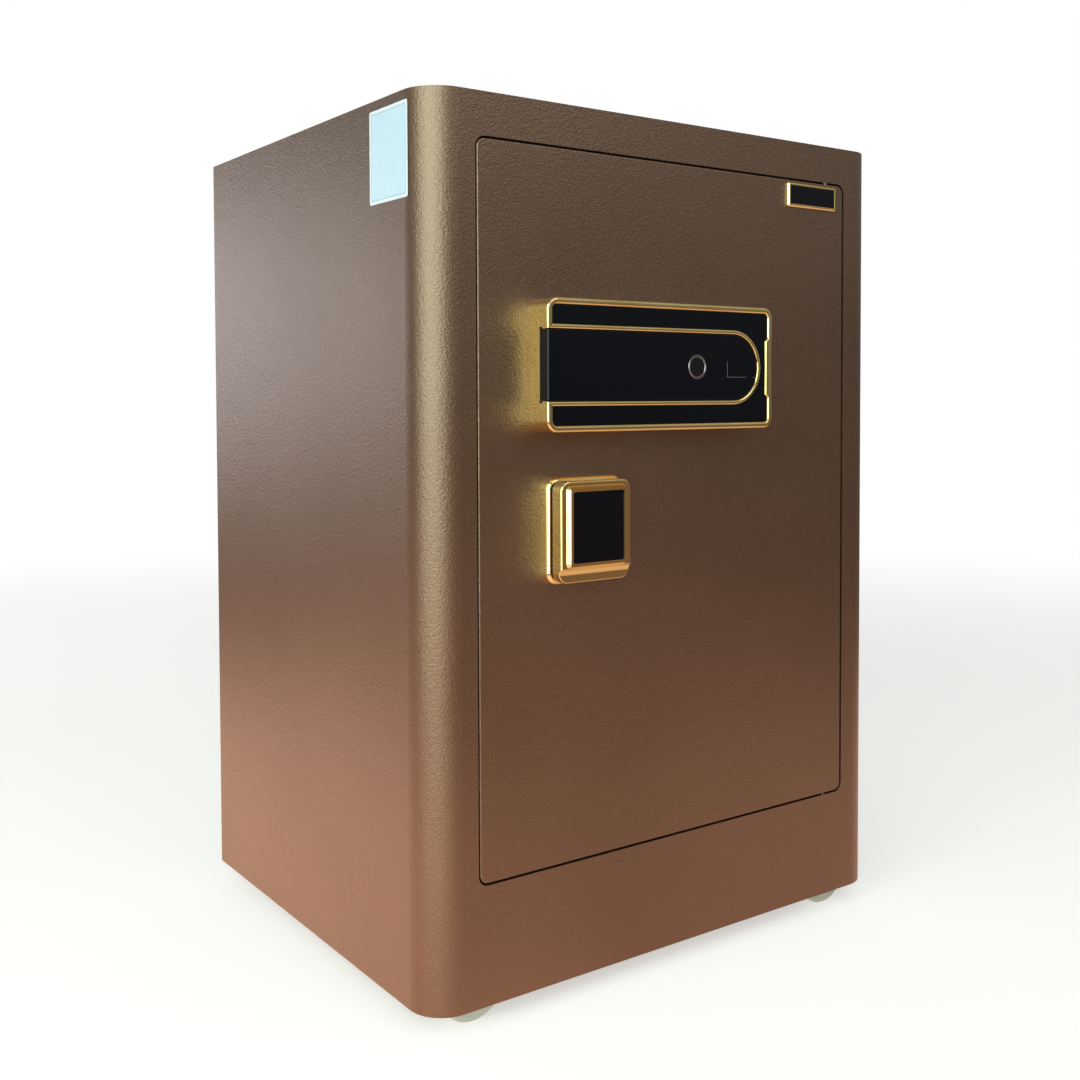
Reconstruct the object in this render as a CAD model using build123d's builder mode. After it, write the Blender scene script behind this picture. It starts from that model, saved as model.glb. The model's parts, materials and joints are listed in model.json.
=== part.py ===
from build123d import *
import math
import os

# A small electronic home safe on hidden rollers: a double-walled steel body, a
# flush door on concealed pivots, a boltwork thrown by a square knob, and a raised
# lock panel whose slide cover carries the finger reader and hides the keyhole.
# Millimetres, +Z up, the front faces -Y and the door hinges on the right (+X).
# The door stands shut with its bolts drawn back.

# Body
body_width = 415.0
body_depth = 350.0
body_height = 585.0
floor_clearance = 15.0
body_sheet = 3.0
front_edge_radius = 25.0
back_edge_radius = 2.0

# Door and its gaps
door_side_margin = 38.0
door_top_margin = 29.0
door_rise = 80.0
door_gap = 1.2
door_thickness = 10.0
door_corner_radius = 6.0
door_edge_radius = 1.2
door_seat_gap = 0.3
pan_sheet = 1.5
pan_back_gap = 0.42
pan_lip_clearance = 4.0
pan_hinge_clearance = 2.5
pan_corner_radius = 4.0
pan_flange = 14.0
swing_clearance = 1.5

# Hinge
hinge_inset = 14.0
hinge_pin_radius = 2.5
hinge_pin_gap = 0.1
hinge_pin_engagement = 20.0
hinge_block_width = 24.0
hinge_block_depth = 14.0
hinge_block_height = 12.0
hinge_block_chamfer = 2.0

# Frame that the door closes into
frame_sheet = 3.0
frame_depth = 34.0
lip_width = 9.0
lip_end_margin = 12.0

# Liner, shelf and mat
liner_sheet = 1.5
liner_side_gap = 10.5
liner_top_gap = 12.0
liner_back_gap = 12.0
liner_floor_rise = 70.0
shelf_rise = 330.0
shelf_sheet = 1.5
shelf_flange = 20.0
shelf_side_gap = 1.0
shelf_front_depth = 95.0
shelf_back_gap = 4.0
shelf_bend_radius = 1.0
shelf_flange_gap = 2.0
rail_leg = 15.0
rail_end_gap = 6.0
rail_screw_margin = 33.825
rail_screw_radius = 2.0
rail_screw_head_radius = 3.6
rail_screw_head = 2.0
mat_thickness = 3.0
mat_edge_gap = 4.0
mat_corner_radius = 3.0

# Anchor holes in the back
anchor_spacing = 250.0
anchor_rise = 440.0
anchor_hole_radius = 6.2
anchor_sleeve_wall = 3.8

# Rollers
wheel_radius = 25.0
wheel_width = 20.0
wheel_face_depth = 14.0
wheel_side_inset = 41.0
wheel_edge_radius = 2.0
wheel_recess_radius = 18.0
wheel_recess_depth = 2.5
wheel_hub_radius = 8.0
axle_radius = 4.0
axle_head_radius = 6.0
axle_head = 2.5
fork_gap = 1.2
fork_sheet = 2.5
fork_end_radius = 9.0
fork_plate_length = 48.0
fork_plate_width = 36.0
fork_plate_radius = 3.0
fork_cheek_width = 38.4
caster_height = 70.0
caster_screw_radius = 2.5
caster_screw_spacing = 36.0
caster_screw_pitch = 13.0
caster_screw_head_radius = 4.5
caster_screw_head = 3.0
caster_nut_height = 4.0

# Lock panel
panel_width = 202.0
panel_height = 87.0
panel_side_margin = 40.0
panel_lift = 95.0
panel_proud = 20.0
panel_corner_radius = 8.0
bezel_width = 4.5
bezel_round = 1.8
panel_floor = 11.0
glass_thickness = 2.6
glass_recess = 1.4
bead_width = 3.2
bead_round = 1.4
channel_height = 46.6
channel_tip_margin = 38.6
scoop_length = 50.0
scoop_width = 6.1
scoop_drop = 1.5
scoop_hollow = 0.5
scoop_ridge = 1.0
scoop_angle = 45.0

# Slide cover with the finger reader
cover_fit = 0.3
cover_margin = 0.4
cover_lift = 0.4
cover_recess = 0.5
cover_wall = 2.5
cover_skin = 3.0
cover_round = 0.6
cover_end_round = 1.8
cover_lip = 5.0
cover_groove_width = 0.7
cover_groove_depth = 0.4
cover_rail = 1.2
cover_rail_height = 2.0
cover_rail_margin = 5.3
cover_travel = 45.0
reader_offset = 34.7
reader_radius = 8.5
reader_pad_radius = 6.7
reader_ring_depth = 2.2
reader_ring_proud = 0.3
reader_ring_chamfer = 0.4
reader_pad_recess = 0.4
reader_pad_depth = 6.5

# Emergency key lock under the slide cover
key_offset = 2.6
key_body_radius = 9.5
key_body_depth = 34.0
key_plug_radius = 6.0
key_plug_recess = 0.1
key_hole_clearance = 0.5
key_slot_width = 2.2
key_slot_height = 8.5
key_slot_depth = 18.0
key_nut_flats = 26.0
key_nut_height = 5.0
key_cam_reach = 22.0
key_cam_width = 9.0
key_cam_wall = 3.0
key_cam_sheet = 2.5
key_cam_gap = 0.5

# Knob
knob_side_margin = 81.5
knob_drop = 13.8
knob_base_width = 63.4
knob_base_height = 70.8
knob_base_proud = 6.0
knob_base_radius = 8.0
knob_base_round = 3.0
knob_cap_width = 58.4
knob_cap_height = 67.0
knob_cap_gap = 1.5
knob_cap_thickness = 9.7
knob_cap_radius = 7.0
knob_edge_round = 1.4
knob_ledge_height = 9.5
knob_ledge_curve = 4.5
knob_ledge_drop = 2.6
knob_ledge_round = 0.6
knob_socket_depth = 5.5
knob_frame_side_margin = 4.1
knob_frame_top_margin = 3.2
knob_frame_width = 3.8
knob_frame_slant = 32.0
knob_frame_proud = 2.8
knob_frame_radius = 3.5
knob_inlay_radius = 1.5
knob_inlay_recess = 0.5
knob_hub_radius = 12.0

# Spindle, crank and boltwork
running_clearance = 0.08
loose_clearance = 0.4
spindle_radius = 5.0
spindle_bush_wall = 3.0
bush_flange = 3.0
crank_sheet = 4.5
crank_gap = 0.6
crank_hub_radius = 10.0
crank_end_radius = 7.0
crank_pin_radius = 4.0
crank_pin_stand = 2.0
crank_slot_clearance = 0.55
bolt_throw = 20.0
bolt_radius = 10.0
bolt_length = 42.0
bolt_spacing = 150.0
bolt_chamfer = 1.5
bolt_flange_gap = 1.5
bolt_screw_radius = 3.0
bolt_screw_head_radius = 5.5
bolt_screw_head = 3.0
bolt_screw_depth = 12.0
bush_wall = 3.0
bush_length = 8.0
bush_plate = 2.0
bush_flat = 0.58
bush_ear = 2.92
carriage_sheet = 3.0
carriage_web_width = 46.0
carriage_end_margin = 15.0
carriage_flange_depth = 20.0
guide_radius = 4.0
guide_clearance = 0.3
guide_collar_radius = 7.0
guide_spread = 130.0
guide_inset = 13.0
guide_gap = 0.4
guide_head = 2.0
window_height = 44.0
window_offset = 80.0
window_margin = 9.0
window_radius = 4.0

# Electric blocker that pins the bolt carriage
plunger_radius = 3.5
plunger_stroke = 8.0
plunger_gap = 3.0
plunger_side_clearance = 0.5
plunger_offset = 46.0
plunger_stand = 19.0
plunger_length = 40.0
plunger_chamfer = 0.8
plunger_setback = 2.0
plunger_bore_margin = 4.0
lock_case_width = 24.0
lock_case_height = 36.0
lock_case_depth = 53.0
lock_case_chamfer = 1.5
tail_rise = 27.5
tail_height = 25.0
tail_margin = 10.0
notch_clearance = 5.0

# Things fixed inside the door
circuit_margin = 12.0
circuit_width = 125.0
circuit_height = 50.0
circuit_depth = 18.0
circuit_radius = 3.0
circuit_chamfer = 1.5
cable_hole_radius = 6.0
battery_radius = 7.2
battery_length = 50.0
battery_count = 4
battery_wall = 2.0
battery_side_margin = 88.0
battery_drop = 98.0
battery_clearance = 0.5
tray_radius = 2.0
lid_sheet = 1.5
lid_margin = 5.0
lid_fit = 0.3
lid_radius = 3.0
lid_chamfer = 0.7
lid_grip_width = 20.0
lid_grip_height = 6.0
lid_grip_depth = 0.8
lid_grip_margin = 8.0
cover_screw_radius = 1.75
cover_screw_head_radius = 3.5
cover_screw_head = 1.8
cover_screw_length = 8.0
cover_screw_rows = 4
cover_screw_chamfer = 0.6
reset_side_margin = 28.0
reset_lift = 122.0
reset_radius = 4.5
reset_proud = 2.5
reset_travel = 1.5
reset_stop_gap = 1.0
reset_chamfer = 0.5
reset_case = 18.0
reset_case_depth = 13.0
reset_case_wall = 2.0

# Fixed bar on the hinge side
dead_bar_reach = 34.0
dead_bar_thickness = 6.0
dead_bar_chamfer = 1.5
dead_bar_margin = 35.0
dead_bar_leg = 3.0
dead_bar_leg_depth = 20.0
dead_bar_gap = 3.0

# Plates on the outside
nameplate_width = 53.0
nameplate_height = 18.4
nameplate_proud = 2.4
nameplate_border = 2.2
nameplate_recess = 0.5
nameplate_floor = 1.0
nameplate_side_margin = 9.5
nameplate_top_margin = 2.1
nameplate_radius = 1.5
nameplate_chamfer = 1.2
label_width = 50.0
label_height = 60.5
label_thickness = 0.2
label_front_margin = 20.5
label_top_margin = 6.5
label_radius = 1.5

# How far a cutting profile starts outside what it cuts
cut_margin = 1.0

# Places worked out from the sizes above
body_bottom = floor_clearance
body_top = body_bottom + body_height
front_y = panel_proud / 2 - body_depth / 2
back_y = front_y + body_depth
inner_width = body_width - 2 * body_sheet
left_x = -body_width / 2
door_width = body_width - 2 * door_side_margin
door_height = body_height - door_rise - door_top_margin
door_bottom = body_bottom + door_rise
door_top = door_bottom + door_height
door_z = (door_bottom + door_top) / 2
door_right = door_width / 2
opening_width = door_width + 2 * door_gap
opening_height = door_height + 2 * door_gap
opening_radius = door_corner_radius + door_gap
hinge_x = door_right - hinge_inset
hinge_depth = body_sheet + hinge_pin_gap + hinge_pin_radius
hinge_y = front_y + hinge_depth
lip_depth = door_thickness + door_seat_gap
lip_left = lip_width - door_width / 2
lip_end = hinge_x - lip_end_margin
liner_width = body_width - 2 * liner_side_gap
liner_bottom = body_bottom + liner_floor_rise
liner_top = body_top - liner_top_gap
liner_height = liner_top - liner_bottom
liner_z = (liner_bottom + liner_top) / 2
liner_back = body_depth - liner_back_gap
floor_z = caster_height
anchor_z = body_bottom + anchor_rise

# The pan is as deep as the bolts and their bushes need.
bolt_depth = frame_depth + bolt_flange_gap + bolt_radius
bush_radius = bolt_radius + running_clearance + bush_wall
pan_depth = bolt_depth + bush_radius + pan_back_gap + 2 * pan_sheet

# The pan's free corner has to pass the frame's lip when the door swings.
pan_swing = math.sqrt((hinge_x - lip_left - swing_clearance) ** 2 - (pan_depth - hinge_depth) ** 2)
pan_left = hinge_x - pan_swing
pan_right = hinge_x - hinge_pin_radius - pan_hinge_clearance
pan_width = pan_right - pan_left
pan_x = (pan_left + pan_right) / 2
pan_height = door_height - 2 * (lip_width + pan_lip_clearance)
cover_screw_pitch = (pan_height - pan_flange) / (cover_screw_rows - 1)
cover_front = pan_depth - pan_sheet

panel_left = panel_side_margin - door_width / 2
panel_right = panel_left + panel_width
panel_x = (panel_left + panel_right) / 2
panel_z = door_z + panel_lift
channel_x = panel_right - channel_tip_margin
bead_outer = channel_height / 2 + bead_width
key_x = channel_x + key_offset
reader_x = channel_x - reader_offset
knob_x = knob_side_margin - door_width / 2
knob_z = door_z - knob_drop

bolt_tip = pan_left + door_seat_gap
bolt_end = bolt_tip + bolt_length
bolt_places = [(front_y + bolt_depth, door_z + step * bolt_spacing) for step in (-1, 0, 1)]
web_front = bolt_depth - carriage_sheet / 2
web_left = bolt_end + carriage_sheet
web_height = 2 * bolt_spacing + 2 * carriage_end_margin
guide_x = web_left + guide_inset
guide_heights = [door_z - guide_spread, door_z + guide_spread]
crank_back = web_front - crank_gap
crank_front = crank_back - crank_sheet

# A quarter turn carries the crank pin across by the throw, half of it each side of the spindle.
crank_radius = bolt_throw / math.sqrt(2.0)
crank_pin_x = knob_x + bolt_throw / 2
crank_pin_z = knob_z + bolt_throw / 2
plunger_x = knob_x + plunger_offset
plunger_depth = bolt_depth - plunger_setback
tail_z = knob_z + tail_rise
notch_depth = plunger_stroke - plunger_gap + notch_clearance
plunger_top = tail_z - plunger_gap
lock_case_top = plunger_top - plunger_stand


def front_plane(depth):
    """Plane parallel to the front at that depth behind it, its normal towards the viewer."""
    return Plane.XZ.offset(-(front_y + depth))


def body_plan(inset, depth):
    """Plan of the body drawn in by the inset, with its two front corners rounded."""
    with BuildSketch() as plan:
        with Locations((0, front_y + inset)):
            Rectangle(body_width - 2 * inset, depth, align=(Align.CENTER, Align.MIN))
        fillet(plan.vertices().group_by(Axis.Y)[0], front_edge_radius - inset)
    return plan.sketch


def door_outline(inset, radius):
    """Rounded rectangle round the door's centre, drawn in from its edge by the inset."""
    with BuildSketch() as outline:
        with Locations((0, door_z)):
            RectangleRounded(door_width - 2 * inset, door_height - 2 * inset, radius)
    return outline.sketch


def rounded_plate(x, z, width, height, radius):
    """Rounded rectangle at a place on the front."""
    with BuildSketch() as plate:
        with Locations((x, z)):
            RectangleRounded(width, height, radius)
    return plate.sketch


def channel_outline(half_height, left, tip_x):
    """Slot shape with a straight left end and a round right end."""
    with BuildSketch() as outline:
        with Locations((tip_x, panel_z)):
            Circle(half_height)
        with Locations((left, panel_z)):
            Rectangle(tip_x - left, 2 * half_height, align=(Align.MIN, Align.CENTER))
    return outline.sketch


# Body shell: left side, front and right side bent from one sheet
with BuildPart() as outer_shell:
    with BuildSketch(Plane.XY.offset(body_bottom)) as shell_plan:
        add(body_plan(0, body_depth))
        fillet(shell_plan.vertices().group_by(Axis.Y)[-1], back_edge_radius)
        add(body_plan(body_sheet, body_depth), mode=Mode.SUBTRACT)
    extrude(amount=body_height)
    with BuildSketch(front_plane(-cut_margin)):
        add(door_outline(-door_gap, opening_radius))
    extrude(amount=-(body_sheet + 2 * cut_margin), mode=Mode.SUBTRACT)

with BuildPart() as top_panel:
    with BuildSketch(Plane.XY.offset(body_top - body_sheet)):
        add(body_plan(body_sheet, body_depth - body_sheet))
    extrude(amount=body_sheet)

with BuildPart() as back_panel:
    with BuildSketch(front_plane(body_depth)):
        with Locations((0, body_bottom)):
            Rectangle(inner_width, body_height - body_sheet, align=(Align.CENTER, Align.MIN))
        with Locations((0, anchor_z)):
            with GridLocations(anchor_spacing, 1, 2, 1):
                Circle(anchor_hole_radius, mode=Mode.SUBTRACT)
    extrude(amount=body_sheet)

# Rollers: where they stand
wheel_x = body_width / 2 - wheel_side_inset
wheel_front_y = front_y + wheel_face_depth + wheel_width / 2
wheel_back_y = back_y - wheel_face_depth - wheel_width / 2
wheel_places = {
    "wheel_front_left": (-wheel_x, wheel_front_y),
    "wheel_front_right": (wheel_x, wheel_front_y),
    "wheel_rear_left": (-wheel_x, wheel_back_y),
    "wheel_rear_right": (wheel_x, wheel_back_y),
}

# Floor plate that the rollers are screwed to
with BuildPart() as floor_plate:
    with BuildSketch(Plane.XY.offset(floor_z)):
        add(body_plan(body_sheet, body_depth - 2 * body_sheet))
        with Locations(*wheel_places.values()):
            with GridLocations(caster_screw_spacing, caster_screw_pitch, 2, 2):
                Circle(caster_screw_radius, mode=Mode.SUBTRACT)
    extrude(amount=body_sheet)

# Folded door frame: jamb, stop lip, inner wall and the flange the bolts catch
with BuildPart() as door_frame:
    with BuildSketch(front_plane(body_sheet)):
        add(door_outline(-door_gap - frame_sheet, opening_radius + frame_sheet))
        add(door_outline(-door_gap, opening_radius), mode=Mode.SUBTRACT)
    extrude(amount=-(frame_depth - body_sheet))
    with BuildSketch(front_plane(lip_depth)):
        add(door_outline(-door_gap, opening_radius))
        add(door_outline(lip_width, door_corner_radius), mode=Mode.SUBTRACT)
        with Locations((lip_end, door_z)):
            Rectangle(door_width, 2 * door_height, align=(Align.MIN, Align.CENTER), mode=Mode.SUBTRACT)
    extrude(amount=-frame_sheet)
    with BuildSketch(front_plane(lip_depth)):
        add(door_outline(lip_width - frame_sheet, door_corner_radius + frame_sheet))
        add(door_outline(lip_width, door_corner_radius), mode=Mode.SUBTRACT)
        with Locations((lip_end, door_z)):
            Rectangle(door_width, 2 * door_height, align=(Align.MIN, Align.CENTER), mode=Mode.SUBTRACT)
    extrude(amount=-(frame_depth - lip_depth))
    with BuildSketch(front_plane(frame_depth - frame_sheet)):
        with Locations((0, liner_z)):
            Rectangle(liner_width, liner_height)
        add(door_outline(lip_width, door_corner_radius), mode=Mode.SUBTRACT)
        with Locations((lip_end, door_z)):
            Rectangle(
                opening_width / 2 - lip_end,
                opening_height,
                align=(Align.MIN, Align.CENTER),
                mode=Mode.SUBTRACT,
            )
    extrude(amount=-frame_sheet)
    with Locations((hinge_x, hinge_y, door_z)):
        Hole(hinge_pin_radius)

# Concealed pivots, upper and lower
frame_top = door_top + door_gap + frame_sheet
frame_bottom = door_bottom - door_gap - frame_sheet
with BuildPart() as hinge_blocks:
    for block_z in (frame_top, frame_bottom - hinge_block_height):
        with BuildSketch(Plane.XY.offset(block_z)):
            with Locations((hinge_x, front_y + body_sheet)):
                Rectangle(hinge_block_width, hinge_block_depth, align=(Align.CENTER, Align.MIN))
        extrude(amount=hinge_block_height)
    chamfer(hinge_blocks.edges().filter_by(Axis.Z).group_by(Axis.Y)[-1], hinge_block_chamfer)
    with Locations((hinge_x, hinge_y, door_z)):
        Hole(hinge_pin_radius)

hinge_pin_reach = door_gap + frame_sheet + hinge_block_height
with BuildPart() as hinge_pins:
    for pin_z in (door_top - hinge_pin_engagement, door_bottom - hinge_pin_reach):
        with BuildSketch(Plane.XY.offset(pin_z)):
            with Locations((hinge_x, hinge_y)):
                Circle(hinge_pin_radius)
        extrude(amount=hinge_pin_engagement + hinge_pin_reach)

# Liner: the inner box, open to the front
with BuildPart() as liner:
    with BuildSketch(front_plane(frame_depth)):
        with Locations((0, liner_z)):
            Rectangle(liner_width, liner_height)
    extrude(amount=-(liner_back - frame_depth))
    offset(amount=-liner_sheet, openings=liner.faces().sort_by(Axis.Y)[0])
    with BuildSketch(front_plane(liner_back)):
        with Locations((0, anchor_z)):
            with GridLocations(anchor_spacing, 1, 2, 1):
                Circle(anchor_hole_radius)
    extrude(amount=2 * liner_sheet, mode=Mode.SUBTRACT)

with BuildPart() as anchor_sleeves:
    with BuildSketch(front_plane(liner_back)):
        with Locations((0, anchor_z)):
            with GridLocations(anchor_spacing, 1, 2, 1):
                Circle(anchor_hole_radius + anchor_sleeve_wall)
                Circle(anchor_hole_radius, mode=Mode.SUBTRACT)
    extrude(amount=-(liner_back_gap - body_sheet))

liner_inner_width = liner_width - 2 * liner_sheet
liner_floor = liner_bottom + liner_sheet
with BuildPart() as floor_mat:
    with BuildSketch(Plane.XY.offset(liner_floor)):
        with Locations((0, front_y + frame_depth + mat_edge_gap)):
            RectangleRounded(
                liner_inner_width - 2 * mat_edge_gap,
                liner_back - liner_sheet - frame_depth - 2 * mat_edge_gap,
                mat_corner_radius,
                align=(Align.CENTER, Align.MIN),
            )
    extrude(amount=mat_thickness)

# Shelf: a tray folded down at front and back, on two angle rails
shelf_top = body_bottom + shelf_rise
shelf_width = liner_inner_width - 2 * shelf_side_gap
shelf_back = liner_back - liner_sheet - shelf_back_gap
shelf_flange_length = shelf_width - 2 * (rail_leg + shelf_flange_gap)
rail_top = shelf_top - shelf_sheet
with BuildPart() as shelf:
    with BuildSketch(Plane.YZ.offset(-shelf_flange_length / 2)):
        with Locations((front_y + shelf_front_depth, shelf_top)):
            Rectangle(shelf_back - shelf_front_depth, shelf_flange, align=(Align.MIN, Align.MAX))
        with Locations((front_y + shelf_front_depth + shelf_sheet, shelf_top - shelf_sheet)):
            Rectangle(
                shelf_back - shelf_front_depth - 2 * shelf_sheet,
                shelf_flange,
                align=(Align.MIN, Align.MAX),
                mode=Mode.SUBTRACT,
            )
    extrude(amount=shelf_flange_length)
    with BuildSketch(Plane.XY.offset(shelf_top - shelf_sheet)):
        with Locations((0, front_y + shelf_front_depth)):
            Rectangle(shelf_width, shelf_back - shelf_front_depth, align=(Align.CENTER, Align.MIN))
    extrude(amount=shelf_sheet)
    fillet(shelf.edges().filter_by(Axis.X).group_by(Axis.Z)[-1].sort_by(Axis.Y)[0], shelf_bend_radius)

rail_front = shelf_front_depth + rail_end_gap
rail_length = shelf_back - rail_end_gap - rail_front
rail_screw_spacing = rail_length - 2 * rail_screw_margin
rail_middle = (rail_length / 2 + rail_front + front_y, rail_top - rail_leg / 2)
rail_face_x = liner_inner_width / 2 - shelf_sheet
with BuildPart() as shelf_rails:
    for side, inward in ((-1, Align.MIN), (1, Align.MAX)):
        with BuildSketch(front_plane(rail_front)):
            with Locations((side * liner_inner_width / 2, rail_top)):
                Rectangle(rail_leg, rail_leg, align=(inward, Align.MAX))
            with Locations((side * rail_face_x, rail_top - shelf_sheet)):
                Rectangle(rail_leg, rail_leg, align=(inward, Align.MAX), mode=Mode.SUBTRACT)
        extrude(amount=-rail_length)
    with BuildSketch(Plane.YZ.offset(-liner_inner_width)):
        with Locations(rail_middle):
            with GridLocations(rail_screw_spacing, 1, 2, 1):
                Circle(rail_screw_radius)
    extrude(amount=2 * liner_inner_width, mode=Mode.SUBTRACT)

rail_screw_steps = ((rail_screw_radius, shelf_sheet), (rail_screw_head_radius, -rail_screw_head))
with BuildPart() as shelf_screws:
    for side in (-1, 1):
        for radius, length in rail_screw_steps:
            with BuildSketch(Plane.YZ.offset(side * rail_face_x)):
                with Locations(rail_middle):
                    with GridLocations(rail_screw_spacing, 1, 2, 1):
                        Circle(radius)
            extrude(amount=side * length)

# Rollers: four rigid forks with nylon wheels
fork_inner = wheel_width / 2 + fork_gap
fork_outer = fork_inner + fork_sheet
fork_top = caster_height - fork_sheet


def fork_cheek():
    """Side of a fork, drawn about its axle hole: wide at the plate, round at the axle."""
    with BuildSketch() as cheek:
        with BuildLine():
            Polyline(
                (-fork_end_radius, 0),
                (-fork_cheek_width / 2, fork_top - wheel_radius),
                (fork_cheek_width / 2, fork_top - wheel_radius),
                (fork_end_radius, 0),
            )
            ThreePointArc((fork_end_radius, 0), (0, -fork_end_radius), (-fork_end_radius, 0))
        make_face()
        Circle(axle_radius, mode=Mode.SUBTRACT)
    return cheek.sketch


with BuildPart() as caster_brackets:
    with BuildSketch(Plane.XY.offset(fork_top)):
        with Locations(*wheel_places.values()):
            RectangleRounded(fork_plate_length, fork_plate_width, fork_plate_radius)
            with GridLocations(caster_screw_spacing, caster_screw_pitch, 2, 2):
                Circle(caster_screw_radius, mode=Mode.SUBTRACT)
    extrude(amount=fork_sheet)
    for wheel_y in (wheel_front_y, wheel_back_y):
        for cheek_y in (wheel_y + fork_outer, wheel_y - fork_inner):
            with BuildSketch(Plane.XZ.offset(-cheek_y)):
                with Locations((-wheel_x, wheel_radius), (wheel_x, wheel_radius)):
                    add(fork_cheek())
            extrude(amount=fork_sheet)

with BuildPart() as caster_axles:
    for wheel_y in (wheel_front_y, wheel_back_y):
        with BuildSketch(Plane.XZ.offset(-(wheel_y + fork_outer))):
            with Locations((-wheel_x, wheel_radius), (wheel_x, wheel_radius)):
                Circle(axle_radius)
        extrude(amount=2 * fork_outer)
        for head_y in (wheel_y + fork_outer + axle_head, wheel_y - fork_outer):
            with BuildSketch(Plane.XZ.offset(-head_y)):
                with Locations((-wheel_x, wheel_radius), (wheel_x, wheel_radius)):
                    Circle(axle_head_radius)
            extrude(amount=axle_head)

with BuildPart() as caster_screws:
    for level, height, flats in (
        (fork_top - caster_screw_head, caster_screw_head, True),
        (fork_top, floor_z + body_sheet - fork_top, False),
        (floor_z + body_sheet, caster_nut_height, True),
    ):
        with BuildSketch(Plane.XY.offset(level)):
            with Locations(*wheel_places.values()):
                with GridLocations(caster_screw_spacing, caster_screw_pitch, 2, 2):
                    if flats:
                        RegularPolygon(caster_screw_head_radius, 6)
                    else:
                        Circle(caster_screw_radius)
        extrude(amount=height)


def make_wheel(place):
    """One nylon roller: rounded tread, dished faces and a hub bored for its axle."""
    x, y = place
    with BuildPart() as wheel:
        with BuildSketch(Plane.XZ.offset(-(y + wheel_width / 2))):
            with Locations((x, wheel_radius)):
                Circle(wheel_radius)
        extrude(amount=wheel_width)
        fillet(wheel.edges().filter_by(GeomType.CIRCLE), wheel_edge_radius)
        for face_y, inward in ((y - wheel_width / 2, -1), (y + wheel_width / 2, 1)):
            with BuildSketch(Plane.XZ.offset(-face_y)):
                with Locations((x, wheel_radius)):
                    Circle(wheel_recess_radius)
                    Circle(wheel_hub_radius, mode=Mode.SUBTRACT)
            extrude(amount=inward * wheel_recess_depth, mode=Mode.SUBTRACT)
        with BuildSketch(Plane.XZ.offset(-(y + wheel_width / 2))):
            with Locations((x, wheel_radius)):
                Circle(axle_radius + running_clearance)
        extrude(amount=wheel_width, mode=Mode.SUBTRACT)
    return wheel


# Plain sticker on the left side
label_y = front_y + label_front_margin + label_width / 2
label_z = body_top - label_top_margin - label_height / 2
with BuildPart() as side_label:
    with BuildSketch(Plane.YZ.offset(left_x - label_thickness)):
        with Locations((label_y, label_z)):
            RectangleRounded(label_width, label_height, label_radius)
    extrude(amount=label_thickness)

# Door plate, drilled for the spindle, the key lock, the cable and the pivots
with BuildPart() as door_plate:
    with BuildSketch(front_plane(0)):
        add(door_outline(0, door_corner_radius))
    extrude(amount=-door_thickness)
    fillet(door_plate.edges().group_by(Axis.Y)[0], door_edge_radius)
    with BuildSketch(front_plane(0)):
        with Locations((knob_x, knob_z)):
            Circle(spindle_radius + running_clearance + spindle_bush_wall)
        with Locations((key_x, panel_z)):
            Circle(key_body_radius + key_hole_clearance)
        with Locations((panel_x, panel_z)):
            Circle(cable_hole_radius)
    extrude(amount=-door_thickness, mode=Mode.SUBTRACT)
    with Locations((hinge_x, hinge_y, door_top), (hinge_x, hinge_y, door_bottom + hinge_pin_engagement)):
        Hole(hinge_pin_radius + running_clearance, depth=hinge_pin_engagement)


def pan_outline(inset, radius):
    """Rounded rectangle round the pan's centre, drawn in from its edge by the inset."""
    return rounded_plate(pan_x, door_z, pan_width - 2 * inset, pan_height - 2 * inset, radius)


# Pan welded behind the plate, with a flange for the inner cover
with BuildPart() as door_pan:
    with BuildSketch(front_plane(door_thickness)):
        add(pan_outline(0, pan_corner_radius))
        add(pan_outline(pan_sheet, pan_corner_radius - pan_sheet), mode=Mode.SUBTRACT)
    extrude(amount=-(cover_front - door_thickness))
    with BuildSketch(front_plane(cover_front - pan_sheet)):
        add(pan_outline(0, pan_corner_radius))
        add(pan_outline(pan_flange, pan_corner_radius), mode=Mode.SUBTRACT)
        with Locations((pan_x, door_z)):
            with GridLocations(pan_width - pan_flange, cover_screw_pitch, 2, cover_screw_rows):
                Circle(cover_screw_radius, mode=Mode.SUBTRACT)
    extrude(amount=-pan_sheet)
    with BuildSketch(Plane.YZ.offset(pan_left - cut_margin)):
        with Locations(*bolt_places):
            Circle(bush_radius)
    extrude(amount=pan_sheet + 2 * cut_margin, mode=Mode.SUBTRACT)

# Battery tray sizes are needed for the window in the inner cover
battery_x = pan_right - battery_side_margin
battery_z = door_z - battery_drop
tray_inner_width = battery_length + 2 * battery_clearance
tray_inner_height = battery_count * (2 * battery_radius + battery_clearance)
tray_width = tray_inner_width + 2 * battery_wall
tray_height = tray_inner_height + 2 * battery_wall
tray_depth = 2 * battery_radius + battery_clearance + battery_wall
window_width = tray_inner_width + 2 * battery_clearance
window_opening = tray_inner_height + 2 * battery_clearance
reset_x = pan_right - reset_side_margin
reset_z = door_z + reset_lift

with BuildPart() as door_cover:
    with BuildSketch(front_plane(cover_front)):
        add(pan_outline(0, pan_corner_radius))
        with Locations((pan_x, door_z)):
            with GridLocations(pan_width - pan_flange, cover_screw_pitch, 2, cover_screw_rows):
                Circle(cover_screw_radius, mode=Mode.SUBTRACT)
        with Locations((battery_x, battery_z)):
            RectangleRounded(window_width, window_opening, tray_radius, mode=Mode.SUBTRACT)
        with Locations((reset_x, reset_z)):
            Circle(reset_radius + loose_clearance, mode=Mode.SUBTRACT)
    extrude(amount=-pan_sheet)

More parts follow.
